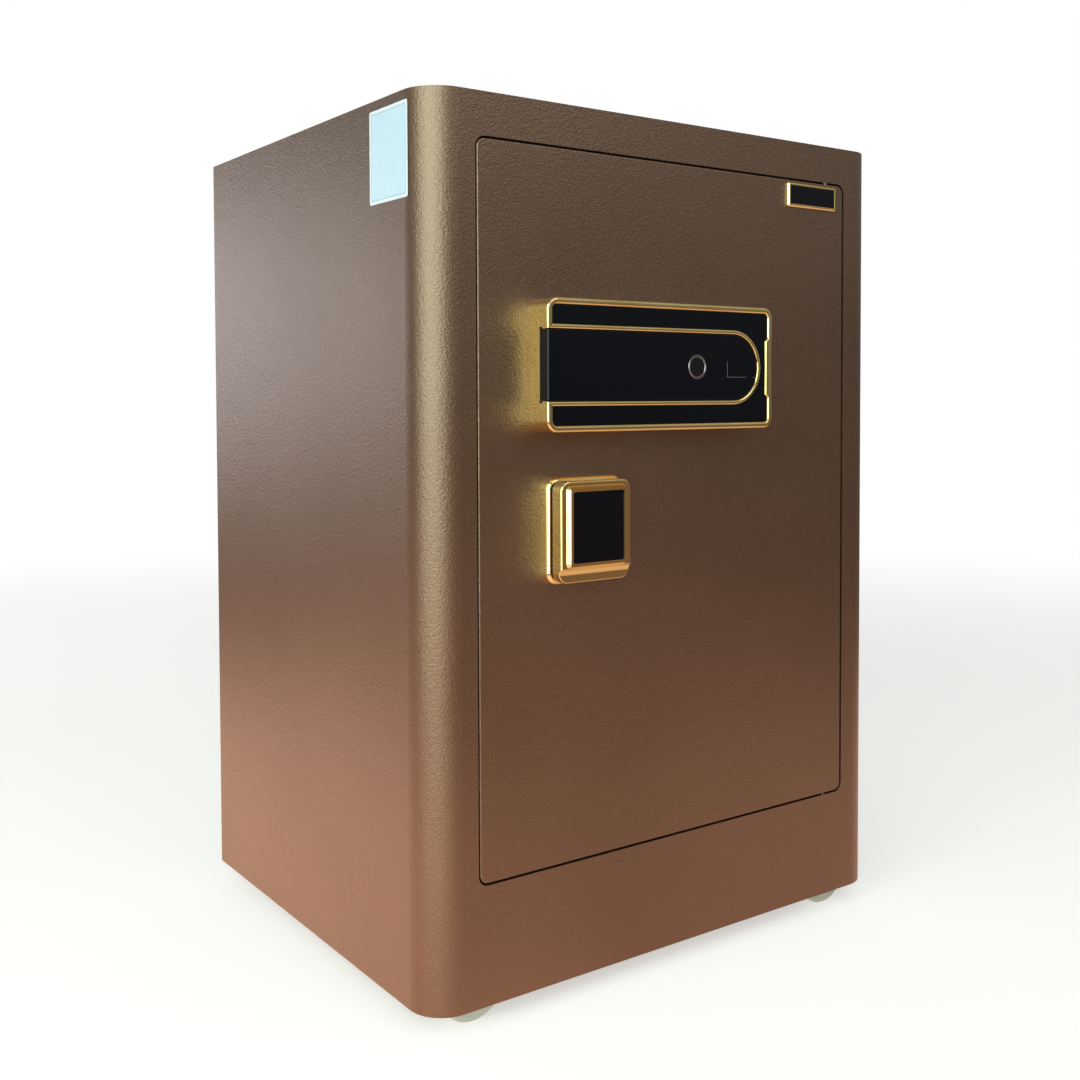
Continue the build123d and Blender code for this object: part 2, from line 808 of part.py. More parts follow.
with BuildPart() as cover_screws:
    with BuildSketch(front_plane(pan_depth - cover_screw_length)):
        with Locations((pan_x, door_z)):
            with GridLocations(pan_width - pan_flange, cover_screw_pitch, 2, cover_screw_rows):
                Circle(cover_screw_radius)
    extrude(amount=-cover_screw_length)
    with BuildSketch(front_plane(pan_depth)):
        with Locations((pan_x, door_z)):
            with GridLocations(pan_width - pan_flange, cover_screw_pitch, 2, cover_screw_rows):
                Circle(cover_screw_head_radius)
    extrude(amount=-cover_screw_head)
    chamfer(cover_screws.edges().group_by(Axis.Y)[-1], cover_screw_chamfer)

# Fixed angle bar that hooks behind the frame on the hinge side
dead_bar_back = frame_depth + dead_bar_gap + dead_bar_thickness
dead_bar_height = pan_height - 2 * dead_bar_margin
with BuildPart() as dead_bar:
    with BuildSketch(Plane.XY.offset(door_z - dead_bar_height / 2)):
        with Locations((pan_right, front_y + dead_bar_back)):
            Rectangle(dead_bar_reach, dead_bar_thickness, align=(Align.MIN, Align.MAX))
            Rectangle(dead_bar_leg, dead_bar_leg_depth + dead_bar_thickness, align=(Align.MIN, Align.MAX))
    extrude(amount=dead_bar_height)
    chamfer(dead_bar.edges().filter_by(Axis.Z).sort_by(Axis.X)[-2:], dead_bar_chamfer)

# Bare plate near the door's upper right corner
nameplate_x = door_right - nameplate_side_margin - nameplate_width / 2
nameplate_z = door_top - nameplate_top_margin - nameplate_height / 2
nameplate_inner_width = nameplate_width - 2 * nameplate_border
nameplate_inner_height = nameplate_height - 2 * nameplate_border
with BuildPart() as nameplate_frame:
    with BuildSketch(front_plane(0)):
        add(rounded_plate(nameplate_x, nameplate_z, nameplate_width, nameplate_height, nameplate_radius))
    extrude(amount=nameplate_proud)
    chamfer(nameplate_frame.edges().group_by(Axis.Y)[0], nameplate_chamfer)
    with BuildSketch(front_plane(-nameplate_proud)):
        with Locations((nameplate_x, nameplate_z)):
            Rectangle(nameplate_inner_width, nameplate_inner_height)
    extrude(amount=-(nameplate_proud - nameplate_floor), mode=Mode.SUBTRACT)

with BuildPart() as nameplate_field:
    with BuildSketch(front_plane(-nameplate_floor)):
        with Locations((nameplate_x, nameplate_z)):
            Rectangle(nameplate_inner_width, nameplate_inner_height)
    extrude(amount=nameplate_proud - nameplate_recess - nameplate_floor)

# Lock panel: moulded base, gilt bezel with its channel beads, black glass
glass_front = panel_proud - glass_recess
glass_back = glass_front - glass_thickness
bezel_inner_width = panel_width - 2 * bezel_width
bezel_inner_height = panel_height - 2 * bezel_width
bezel_inner_radius = panel_corner_radius - bezel_width
scoop_left = panel_right - scoop_width
panel_face = front_y - panel_proud
cover_start = panel_left + cover_margin
cover_rail_length = channel_x - cover_wall - cover_travel - cover_start - cover_rail_margin


def scoop_outline(margin):
    """Outline of the thumb scoop with slanted ends, drawn outwards by the margin."""
    with BuildSketch() as outline:
        with Locations((panel_right, panel_z)):
            Trapezoid(
                scoop_length + 2 * math.sqrt(2) * margin,
                scoop_width + margin,
                scoop_angle,
                rotation=90,
                align=(Align.CENTER, Align.MIN),
            )
    return outline.sketch


def bezel_window():
    """Clear area inside the bezel, less the thicker stretch that the thumb scoop is cut in."""
    with BuildSketch() as window:
        add(rounded_plate(panel_x, panel_z, bezel_inner_width, bezel_inner_height, bezel_inner_radius))
        add(scoop_outline(scoop_ridge), mode=Mode.SUBTRACT)
    return window.sketch


# Hollow slope of the scoop, deeper towards the outside
with BuildPart() as scoop_cut:
    with BuildSketch(Plane.XY.offset(panel_z - scoop_length / 2)):
        with BuildLine():
            ThreePointArc(
                (scoop_left, panel_face),
                ((scoop_left + panel_right) / 2, panel_face + scoop_drop / 2 + scoop_hollow),
                (panel_right, panel_face + scoop_drop),
            )
            Polyline(
                (panel_right, panel_face + scoop_drop),
                (panel_right, panel_face - cut_margin),
                (scoop_left, panel_face - cut_margin),
                (scoop_left, panel_face),
            )
        make_face()
    extrude(amount=scoop_length)
    with BuildSketch(front_plane(-panel_floor)):
        add(scoop_outline(0))
    extrude(amount=panel_proud, mode=Mode.INTERSECT)

# Half-round bead along the channel, open at the left
with BuildPart() as channel_bead:
    with BuildSketch(front_plane(-panel_floor)):
        add(channel_outline(bead_outer, panel_left, channel_x))
        add(channel_outline(channel_height / 2, panel_left, channel_x), mode=Mode.SUBTRACT)
    extrude(amount=panel_proud - panel_floor)
    fillet(channel_bead.edges().group_by(Axis.Y)[0], bead_round)

with BuildPart() as panel_bezel:
    with BuildSketch(front_plane(0)):
        add(rounded_plate(panel_x, panel_z, panel_width, panel_height, panel_corner_radius))
        add(bezel_window(), mode=Mode.SUBTRACT)
    extrude(amount=panel_proud)
    with BuildSketch(front_plane(-panel_floor)):
        add(channel_outline(channel_height / 2, panel_left - cut_margin, channel_x))
    extrude(amount=panel_proud, mode=Mode.SUBTRACT)
    fillet(panel_bezel.edges().group_by(Axis.Y)[0], bezel_round)
    add(scoop_cut, mode=Mode.SUBTRACT)
    add(channel_bead)
    with BuildSketch(front_plane(-panel_floor)):
        with Locations((cover_start - bezel_width, panel_z)):
            Rectangle(
                channel_x - cover_start + bezel_width,
                channel_height + 2 * cover_rail,
                align=(Align.MIN, Align.CENTER),
            )
    extrude(amount=cover_lift + cover_rail_height + cover_fit, mode=Mode.SUBTRACT)

with BuildPart() as panel_base:
    with BuildSketch(front_plane(0)):
        add(bezel_window())
        with Locations((key_x, panel_z)):
            Circle(key_body_radius, mode=Mode.SUBTRACT)
    extrude(amount=panel_floor)
    with BuildSketch(front_plane(-panel_floor)):
        add(bezel_window())
        add(channel_outline(bead_outer, panel_left, channel_x), mode=Mode.SUBTRACT)
    extrude(amount=glass_back - panel_floor)

with BuildPart() as panel_glass:
    with BuildSketch(front_plane(-glass_back)):
        add(bezel_window())
        add(channel_outline(bead_outer, panel_left, channel_x), mode=Mode.SUBTRACT)
    extrude(amount=glass_thickness)

# Slide cover: a hollow black moulding in the channel
cover_front_proud = panel_proud - cover_recess
cover_back_proud = panel_floor + cover_lift
cover_half = channel_height / 2 - cover_fit
with BuildPart() as slide_cover:
    with BuildSketch(front_plane(-cover_back_proud)):
        add(channel_outline(cover_half, cover_start, channel_x))
    extrude(amount=cover_front_proud - cover_back_proud)
    cover_edges = slide_cover.edges().group_by(Axis.Y)[0]
    end_edge = cover_edges.sort_by(Axis.X)[0]
    fillet(end_edge, cover_end_round)
    fillet(slide_cover.edges().group_by(Axis.Y)[0].filter_by(Axis.Z, reverse=True), cover_round)
    with BuildSketch(front_plane(-cover_front_proud)):
        with Locations((cover_start + cover_lip, panel_z)):
            Rectangle(cover_groove_width, channel_height)
    extrude(amount=-cover_groove_depth, mode=Mode.SUBTRACT)
    with BuildSketch(front_plane(-cover_back_proud)):
        add(channel_outline(cover_half - cover_wall, cover_start + cover_wall, channel_x))
    extrude(amount=cover_front_proud - cover_back_proud - cover_skin, mode=Mode.SUBTRACT)
    with BuildSketch(front_plane(-cover_back_proud)):
        with Locations((channel_x - cover_wall, panel_z)):
            Rectangle(cover_rail_length, 2 * (cover_half + cover_rail), align=(Align.MAX, Align.CENTER))
            Rectangle(
                cover_rail_length,
                2 * (cover_half - cover_wall / 2),
                align=(Align.MAX, Align.CENTER),
                mode=Mode.SUBTRACT,
            )
    extrude(amount=cover_rail_height)
    with BuildSketch(front_plane(-cover_front_proud)):
        with Locations((reader_x, panel_z)):
            Circle(reader_radius)
    extrude(amount=-reader_ring_depth, mode=Mode.SUBTRACT)
    with BuildSketch(front_plane(-cover_front_proud)):
        with Locations((reader_x, panel_z)):
            Circle(reader_pad_radius)
    extrude(amount=-(cover_skin + cut_margin), mode=Mode.SUBTRACT)

with BuildPart() as reader_ring:
    with BuildSketch(front_plane(-(cover_front_proud - reader_ring_depth))):
        with Locations((reader_x, panel_z)):
            Circle(reader_radius)
            Circle(reader_pad_radius, mode=Mode.SUBTRACT)
    extrude(amount=reader_ring_depth + reader_ring_proud)
    chamfer(reader_ring.edges().group_by(Axis.Y)[0], reader_ring_chamfer)

with BuildPart() as reader_pad:
    with BuildSketch(front_plane(-(cover_front_proud - reader_pad_depth))):
        with Locations((reader_x, panel_z)):
            Circle(reader_pad_radius)
    extrude(amount=reader_pad_depth - reader_pad_recess)

# Emergency key lock
with BuildPart() as key_cylinder:
    with BuildSketch(front_plane(-panel_floor)):
        with Locations((key_x, panel_z)):
            Circle(key_body_radius)
            Circle(key_plug_radius + running_clearance, mode=Mode.SUBTRACT)
    extrude(amount=-(panel_floor + key_body_depth))

with BuildPart() as key_nut:
    with BuildSketch(front_plane(door_thickness)):
        with Locations((key_x, panel_z)):
            RegularPolygon(key_nut_flats / 2, 6, major_radius=False)
            Circle(key_body_radius, mode=Mode.SUBTRACT)
    extrude(amount=-key_nut_height)

key_cam_front = key_body_depth + key_cam_gap
with BuildPart() as key_plug:
    with BuildSketch(front_plane(key_plug_recess - panel_floor)):
        with Locations((key_x, panel_z)):
            Circle(key_plug_radius)
    extrude(amount=-(panel_floor - key_plug_recess + key_cam_front + key_cam_sheet))
    with BuildSketch(front_plane(key_plug_recess - panel_floor)):
        with Locations((key_x, panel_z)):
            Rectangle(key_slot_width, key_slot_height)
    extrude(amount=-key_slot_depth, mode=Mode.SUBTRACT)

with BuildPart() as key_cam:
    with BuildSketch(front_plane(key_cam_front)):
        with Locations((key_x, panel_z)):
            Circle(key_plug_radius + key_cam_wall)
        with Locations((key_x, panel_z - key_cam_reach / 2)):
            Rectangle(key_cam_width, key_cam_reach)
        with Locations((key_x, panel_z - key_cam_reach)):
            Circle(key_cam_width / 2)
        with Locations((key_x, panel_z)):
            Circle(key_plug_radius, mode=Mode.SUBTRACT)
    extrude(amount=-key_cam_sheet)

# Knob: fixed base plate, turning cap with a stepped face and a black inlay
with BuildPart() as knob_base:
    with BuildSketch(front_plane(0)):
        with Locations((knob_x, knob_z)):
            RectangleRounded(knob_base_width, knob_base_height, knob_base_radius)
    extrude(amount=knob_base_proud)
    fillet(knob_base.edges().group_by(Axis.Y)[0], knob_base_round)
    with BuildSketch(front_plane(0)):
        with Locations((knob_x, knob_z)):
            Circle(spindle_radius + running_clearance + spindle_bush_wall)
    extrude(amount=knob_base_proud, mode=Mode.SUBTRACT)

with BuildPart() as spindle_bush:
    with BuildSketch(front_plane(-knob_base_proud)):
        with Locations((knob_x, knob_z)):
            Circle(spindle_radius + running_clearance + spindle_bush_wall)
    extrude(amount=-(knob_base_proud + door_thickness))
    with BuildSketch(front_plane(door_thickness)):
        with Locations((knob_x, knob_z)):
            Circle(spindle_radius + spindle_bush_wall + bush_flange)
    extrude(amount=-bush_flange)
    with BuildSketch(front_plane(-knob_base_proud)):
        with Locations((knob_x, knob_z)):
            Circle(spindle_radius + running_clearance)
    extrude(amount=-(knob_base_proud + door_thickness + bush_flange), mode=Mode.SUBTRACT)

cap_back = knob_base_proud + knob_cap_gap
cap_face = cap_back + knob_cap_thickness
cap_bottom = knob_z - knob_cap_height / 2
cap_front_y = front_y - cap_face
ledge_top = cap_bottom + knob_ledge_height
knob_frame_outer_width = knob_cap_width - 2 * knob_frame_side_margin
knob_frame_outer_height = knob_cap_height - knob_frame_top_margin - knob_ledge_height
knob_frame_z = knob_z + (knob_ledge_height - knob_frame_top_margin) / 2
inlay_width = knob_frame_outer_width - 2 * knob_frame_width
inlay_height = knob_frame_outer_height - 2 * knob_frame_width
with BuildPart() as knob_cap:
    with BuildSketch(front_plane(-cap_back)):
        with Locations((knob_x, knob_z)):
            RectangleRounded(knob_cap_width, knob_cap_height, knob_cap_radius)
    extrude(amount=knob_cap_thickness)
    fillet(knob_cap.edges().group_by(Axis.Y)[0], knob_edge_round)
    with BuildSketch(Plane.YZ.offset(knob_x - knob_cap_width)):
        with BuildLine():
            TangentArc(
                (cap_front_y + knob_ledge_drop, ledge_top - knob_ledge_curve),
                (cap_front_y, ledge_top),
                tangent=(0, 1),
            )
            Polyline(
                (cap_front_y, ledge_top),
                (cap_front_y - cut_margin, ledge_top),
                (cap_front_y - cut_margin, cap_bottom - cut_margin),
                (cap_front_y + knob_ledge_drop, cap_bottom - cut_margin),
                (cap_front_y + knob_ledge_drop, ledge_top - knob_ledge_curve),
            )
        make_face()
    extrude(amount=2 * knob_cap_width, mode=Mode.SUBTRACT)
    ledge_face = knob_cap.faces().filter_by(Axis.Y).sort_by(Axis.Z)[0]
    fillet(ledge_face.edges().sort_by(Axis.Z)[0], knob_ledge_round)
    with BuildSketch(front_plane(-cap_face)):
        with Locations((knob_x, knob_frame_z)):
            RectangleRounded(knob_frame_outer_width, knob_frame_outer_height, knob_frame_radius)
    extrude(amount=knob_frame_proud, taper=knob_frame_slant)
    with BuildSketch(front_plane(-(cap_face + knob_frame_proud))):
        with Locations((knob_x, knob_frame_z)):
            RectangleRounded(inlay_width, inlay_height, knob_inlay_radius)
    extrude(amount=-knob_frame_proud, mode=Mode.SUBTRACT)
    with BuildSketch(front_plane(-cap_back)):
        with Locations((knob_x, knob_z)):
            Circle(knob_hub_radius)
    extrude(amount=-(knob_cap_gap - door_seat_gap))
    with BuildSketch(front_plane(-(knob_base_proud + door_seat_gap))):
        with Locations((knob_x, knob_z)):
            Circle(spindle_radius)
    extrude(amount=knob_socket_depth, mode=Mode.SUBTRACT)

with BuildPart() as knob_inlay:
    with BuildSketch(front_plane(-cap_face)):
        with Locations((knob_x, knob_frame_z)):
            RectangleRounded(inlay_width, inlay_height, knob_inlay_radius)
    extrude(amount=knob_frame_proud - knob_inlay_recess)

with BuildPart() as spindle:
    with BuildSketch(front_plane(-(knob_base_proud + door_seat_gap + knob_socket_depth))):
        with Locations((knob_x, knob_z)):
            Circle(spindle_radius)
    extrude(amount=-(knob_base_proud + door_seat_gap + knob_socket_depth + crank_back))

with BuildPart() as crank:
    with BuildSketch(front_plane(crank_front)):
        with Locations((knob_x, knob_z)):
            Circle(crank_hub_radius)
        with Locations((crank_pin_x, crank_pin_z)):
            Circle(crank_end_radius)
        make_hull()
        with Locations((knob_x, knob_z)):
            Circle(spindle_radius, mode=Mode.SUBTRACT)
    extrude(amount=-crank_sheet)
    with BuildSketch(front_plane(crank_back)):
        with Locations((crank_pin_x, crank_pin_z)):
            Circle(crank_pin_radius)
    extrude(amount=-(carriage_sheet + crank_pin_stand))

# Bolt carriage: slotted web with a flange that carries the three bolts
tail_right = plunger_x + bolt_throw + tail_margin
crank_slot_width = 2 * (crank_pin_radius + crank_slot_clearance)
crank_slot_height = crank_radius - bolt_throw / 2 + crank_slot_width
window_places = [(web_left + carriage_web_width / 2, door_z + side * window_offset) for side in (-1, 1)]
with BuildPart() as bolt_carriage:
    with BuildSketch(front_plane(web_front)):
        with Locations((web_left, door_z)):
            Rectangle(carriage_web_width, web_height, align=(Align.MIN, Align.CENTER))
        with Locations((web_left, tail_z)):
            Rectangle(tail_right - web_left, tail_height, align=(Align.MIN, Align.MIN))
        with Locations((plunger_x, tail_z), (plunger_x + bolt_throw, tail_z)):
            Rectangle(
                2 * (plunger_radius + plunger_side_clearance),
                notch_depth,
                align=(Align.CENTER, Align.MIN),
                mode=Mode.SUBTRACT,
            )
        with Locations(*[(guide_x + bolt_throw / 2, height) for height in guide_heights]):
            SlotCenterToCenter(bolt_throw, 2 * (guide_radius + guide_clearance), mode=Mode.SUBTRACT)
        with Locations(*window_places):
            RectangleRounded(
                carriage_web_width - 2 * window_margin,
                window_height,
                window_radius,
                mode=Mode.SUBTRACT,
            )
        with Locations((crank_pin_x, knob_z + (crank_radius + bolt_throw / 2) / 2)):
            SlotOverall(crank_slot_height, crank_slot_width, rotation=90, mode=Mode.SUBTRACT)
    extrude(amount=-carriage_sheet)
    with BuildSketch(Plane.YZ.offset(bolt_end)):
        with Locations((front_y + bolt_depth, door_z)):
            Rectangle(carriage_flange_depth, web_height)
        with Locations(*bolt_places):
            Circle(bolt_screw_radius, mode=Mode.SUBTRACT)
    extrude(amount=carriage_sheet)

with BuildPart() as bolts:
    with BuildSketch(Plane.YZ.offset(bolt_tip)):
        with Locations(*bolt_places):
            Circle(bolt_radius)
    extrude(amount=bolt_length)
    chamfer(bolts.edges().group_by(Axis.X)[0], bolt_chamfer)
    with BuildSketch(Plane.YZ.offset(bolt_end)):
        with Locations(*bolt_places):
            Circle(bolt_screw_radius)
    extrude(amount=-bolt_screw_depth, mode=Mode.SUBTRACT)

with BuildPart() as bolt_screws:
    with BuildSketch(Plane.YZ.offset(bolt_end - bolt_screw_depth)):
        with Locations(*bolt_places):
            Circle(bolt_screw_radius)
    extrude(amount=bolt_screw_depth + carriage_sheet)
    with BuildSketch(Plane.YZ.offset(web_left)):
        with Locations(*bolt_places):
            Circle(bolt_screw_head_radius)
        with Locations((front_y + bolt_depth, door_z)):
            Rectangle(carriage_sheet, web_height, mode=Mode.SUBTRACT)
    extrude(amount=bolt_screw_head)

with BuildPart() as bolt_bushes:
    with BuildSketch(Plane.YZ.offset(pan_left)):
        with Locations(*bolt_places):
            Circle(bush_radius)
    extrude(amount=bush_length)
    with BuildSketch(Plane.YZ.offset(pan_left + pan_sheet)):
        with Locations(*bolt_places):
            Rectangle(2 * (bush_radius - bush_flat), 2 * (bush_radius + bush_ear))
    extrude(amount=bush_plate)
    with BuildSketch(Plane.YZ.offset(pan_left)):
        with Locations(*bolt_places):
            Circle(bolt_radius + running_clearance)
    extrude(amount=bush_length, mode=Mode.SUBTRACT)

guide_collar_depth = web_front - guide_gap
guide_head_depth = web_front + carriage_sheet + guide_gap
with BuildPart() as guide_studs:
    for start, end, radius in (
        (door_thickness, guide_collar_depth, guide_collar_radius),
        (guide_collar_depth, guide_head_depth, guide_radius),
        (guide_head_depth, guide_head_depth + guide_head, guide_collar_radius),
    ):
        with BuildSketch(front_plane(start)):
            with Locations(*[(guide_x, height) for height in guide_heights]):
                Circle(radius)
        extrude(amount=-(end - start))

# Electric blocker
with BuildPart() as lock_case:
    with BuildSketch(front_plane(door_thickness)):
        with Locations((plunger_x, lock_case_top)):
            Rectangle(lock_case_width, lock_case_height, align=(Align.CENTER, Align.MAX))
    extrude(amount=-(lock_case_depth - door_thickness))
    chamfer(lock_case.edges().group_by(Axis.Y)[-1], lock_case_chamfer)
    with Locations((plunger_x, front_y + plunger_depth, lock_case_top)):
        Hole(plunger_radius + running_clearance, depth=plunger_length - plunger_stand + plunger_bore_margin)

with BuildPart() as lock_plunger:
    with BuildSketch(Plane.XY.offset(plunger_top - plunger_length)):
        with Locations((plunger_x, front_y + plunger_depth)):
            Circle(plunger_radius)
    extrude(amount=plunger_length)
    chamfer(lock_plunger.edges().group_by(Axis.Z)[-1], plunger_chamfer)

# Electronics behind the panel
circuit_x = panel_left + circuit_margin + circuit_width / 2
with BuildPart() as circuit_box:
    with BuildSketch(front_plane(door_thickness)):
        with Locations((circuit_x, panel_z)):
            RectangleRounded(circuit_width, circuit_height, circuit_radius)
    extrude(amount=-circuit_depth)
    chamfer(circuit_box.edges().group_by(Axis.Y)[-1], circuit_chamfer)

with BuildPart() as battery_box:
    with BuildSketch(front_plane(cover_front)):
        with Locations((battery_x, battery_z)):
            RectangleRounded(tray_width, tray_height, tray_radius)
    extrude(amount=tray_depth)
    with BuildSketch(front_plane(cover_front)):
        with Locations((battery_x, battery_z)):
            Rectangle(tray_inner_width, tray_inner_height)
    extrude(amount=tray_depth - battery_wall, mode=Mode.SUBTRACT)

cell_depth = cover_front - battery_clearance - battery_radius
with BuildPart() as batteries:
    with BuildSketch(Plane.YZ.offset(battery_x - battery_length / 2)):
        with Locations((front_y + cell_depth, battery_z)):
            with GridLocations(1, 2 * battery_radius + battery_clearance, 1, battery_count):
                Circle(battery_radius)
    extrude(amount=battery_length)

with BuildPart() as battery_cover:
    with BuildSketch(front_plane(cover_front)):
        with Locations((battery_x, battery_z)):
            RectangleRounded(window_width - 2 * lid_fit, window_opening - 2 * lid_fit, tray_radius - lid_fit)
    extrude(amount=-lid_sheet)
    with BuildSketch(front_plane(cover_front + lid_sheet)):
        with Locations((battery_x, battery_z)):
            RectangleRounded(tray_width + 2 * lid_margin, tray_height + 2 * lid_margin, lid_radius)
    extrude(amount=-lid_sheet)
    chamfer(battery_cover.edges().group_by(Axis.Y)[-1], lid_chamfer)
    with BuildSketch(front_plane(cover_front + 2 * lid_sheet)):
        with Locations((battery_x, battery_z + tray_height / 2 - lid_grip_margin)):
            SlotOverall(lid_grip_width, lid_grip_height)
    extrude(amount=lid_grip_depth, mode=Mode.SUBTRACT)

# Registration button on the inner cover
with BuildPart() as reset_switch:
    with BuildSketch(front_plane(cover_front)):
        with Locations((reset_x, reset_z)):
            RectangleRounded(reset_case, reset_case, tray_radius)
    extrude(amount=reset_case_depth)
    with BuildSketch(front_plane(cover_front)):
        with Locations((reset_x, reset_z)):
            Circle(reset_radius + running_clearance)
    extrude(amount=reset_case_depth - reset_case_wall, mode=Mode.SUBTRACT)

reset_bore = reset_case_depth - reset_case_wall
with BuildPart() as reset_button:
    with BuildSketch(front_plane(pan_depth + reset_proud)):
        with Locations((reset_x, reset_z)):
            Circle(reset_radius)
    extrude(amount=reset_proud + pan_sheet + reset_bore - reset_travel - reset_stop_gap)
    chamfer(reset_button.edges().group_by(Axis.Y)[-1], reset_chamfer)

# Names of the pieces, each written to its own file
pieces = {
    "outer_shell": outer_shell,
    "top_panel": top_panel,
    "back_panel": back_panel,
    "floor_plate": floor_plate,
    "door_frame": door_frame,
    "hinge_blocks": hinge_blocks,
    "hinge_pins": hinge_pins,
    "liner": liner,
    "anchor_sleeves": anchor_sleeves,
    "floor_mat": floor_mat,
    "shelf": shelf,
    "shelf_rails": shelf_rails,
    "shelf_screws": shelf_screws,
    "caster_brackets": caster_brackets,
    "caster_axles": caster_axles,
    "caster_screws": caster_screws,
    "side_label": side_label,
    "door_plate": door_plate,
    "door_pan": door_pan,
    "door_cover": door_cover,
    "cover_screws": cover_screws,
    "dead_bar": dead_bar,
    "nameplate_frame": nameplate_frame,
    "nameplate_field": nameplate_field,
    "panel_bezel": panel_bezel,
    "panel_base": panel_base,
    "panel_glass": panel_glass,
    "slide_cover": slide_cover,
    "reader_ring": reader_ring,
    "reader_pad": reader_pad,
    "key_cylinder": key_cylinder,
    "key_nut": key_nut,
    "key_plug": key_plug,
    "key_cam": key_cam,
    "knob_base": knob_base,
    "spindle_bush": spindle_bush,
    "knob_cap": knob_cap,
    "knob_inlay": knob_inlay,
    "spindle": spindle,
    "crank": crank,
    "bolt_carriage": bolt_carriage,
    "bolts": bolts,
    "bolt_screws": bolt_screws,
    "bolt_bushes": bolt_bushes,
    "guide_studs": guide_studs,
    "lock_case": lock_case,
    "lock_plunger": lock_plunger,
    "circuit_box": circuit_box,
    "battery_box": battery_box,
    "batteries": batteries,
    "battery_cover": battery_cover,
    "reset_switch": reset_switch,
    "reset_button": reset_button,
}
for wheel_name, wheel_place in wheel_places.items():
    pieces[wheel_name] = make_wheel(wheel_place)

os.makedirs("parts", exist_ok=True)
for piece_name, piece in pieces.items():
    piece.part.label = piece_name
    export_step(piece.part, f"parts/{piece_name}.step")
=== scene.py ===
import json
import math

import bmesh
import bpy
from mathutils import Matrix, Vector

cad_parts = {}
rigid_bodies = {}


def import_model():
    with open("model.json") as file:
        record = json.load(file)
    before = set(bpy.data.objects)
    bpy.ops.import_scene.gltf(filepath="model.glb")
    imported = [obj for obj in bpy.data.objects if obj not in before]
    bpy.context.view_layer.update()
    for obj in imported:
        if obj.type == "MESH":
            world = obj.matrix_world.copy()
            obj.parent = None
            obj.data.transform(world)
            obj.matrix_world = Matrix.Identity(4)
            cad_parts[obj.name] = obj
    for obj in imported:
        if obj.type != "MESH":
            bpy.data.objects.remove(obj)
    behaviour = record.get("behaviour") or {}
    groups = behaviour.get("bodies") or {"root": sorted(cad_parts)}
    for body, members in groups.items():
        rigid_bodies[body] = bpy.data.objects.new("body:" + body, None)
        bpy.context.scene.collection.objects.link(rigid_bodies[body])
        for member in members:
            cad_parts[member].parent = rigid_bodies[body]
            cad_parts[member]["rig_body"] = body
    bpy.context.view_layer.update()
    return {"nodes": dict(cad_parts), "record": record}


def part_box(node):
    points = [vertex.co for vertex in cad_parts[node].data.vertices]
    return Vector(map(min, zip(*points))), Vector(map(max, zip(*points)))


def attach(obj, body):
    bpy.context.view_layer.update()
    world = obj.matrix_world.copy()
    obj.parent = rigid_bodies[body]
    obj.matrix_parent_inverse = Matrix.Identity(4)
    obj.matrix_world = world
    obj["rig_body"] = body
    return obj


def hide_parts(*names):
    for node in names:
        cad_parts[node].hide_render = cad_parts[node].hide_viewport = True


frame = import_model()

bl_info = {
    "name": "Steel Home Safe",
    "version": (1, 0, 0),
    "blender": (4, 5, 0),
    "location": "View3D > Sidebar > Safe",
    "description": "Finishes, small pieces and stage for a steel home safe with a sliding lock cover",
    "category": "Add Mesh",
}

MM = 0.001
# Distance within which a point counts as lying on a face or rim.
NEAR = 0.1 * MM
# Share of its length above which a normal or an edge counts as lying along an axis.
ALONG = 0.9
WHITE = (1.0, 1.0, 1.0, 1.0)
# Noise lies between these two values nearly everywhere, so a range starts from them.
MIDDLE = {"From Min": 0.3, "From Max": 0.7}
# The Mix node's colour output goes by its number, and so do its colour inputs, 6 and 7.
MIXED = 2
# Head radius, head height and shank radius of the two kinds of screw, as in the CAD model.
COVER_SCREW = (3.5 * MM, 1.8 * MM, 1.75 * MM)
RAIL_SCREW = (3.6 * MM, 2.0 * MM, 1.95 * MM)
# Name, setting of its power, place, target, width and height, and colour of each lamp.
LAMPS = (
    ("lamp_corner", "corner_power", (-1.5, -1.05, 0.75), (-0.2, -0.15, 0.35), (2.2, 1.8), "#E9FFF0"),
    ("lamp_side", "side_power", (-0.85, 1.55, 0.56), (-0.2, 0.05, 0.42), (0.8, 0.55), "#F4F8FF"),
    ("lamp_front", "front_power", (0.6, -2.0, 1.9), (0, 0, 0.3), (1.6, 1.0), "#FFFFFF"),
)


def hex_colour(code):
    """Linear RGBA of an sRGB hex value."""
    parts = [int(code[i:i + 2], 16) / 255 for i in (1, 3, 5)]
    linear = [c / 12.92 if c <= 0.04045 else ((c + 0.055) / 1.055) ** 2.4 for c in parts]
    return (*linear, 1.0)


def shade_of(colour, share):
    """A darker or paler shade of a colour."""
    return [min(channel * share, 1.0) for channel in colour[:3]] + [1.0]


def colour_property(name, description, code):
    """A colour that the user can change, given as its sRGB hex value."""
    return bpy.props.FloatVectorProperty(
        name=name, description=description, size=4, subtype="COLOR", min=0, max=1, default=hex_colour(code)
    )


def length_property(name, description, size_mm):
    """A length that the user can change, given in millimetres."""
    return bpy.props.FloatProperty(name=name, description=description, unit="LENGTH", default=size_mm * MM)


def share_property(name, description, share):
    """A share between nothing and all."""
    return bpy.props.FloatProperty(
        name=name, description=description, subtype="FACTOR", min=0, max=1, default=share
    )


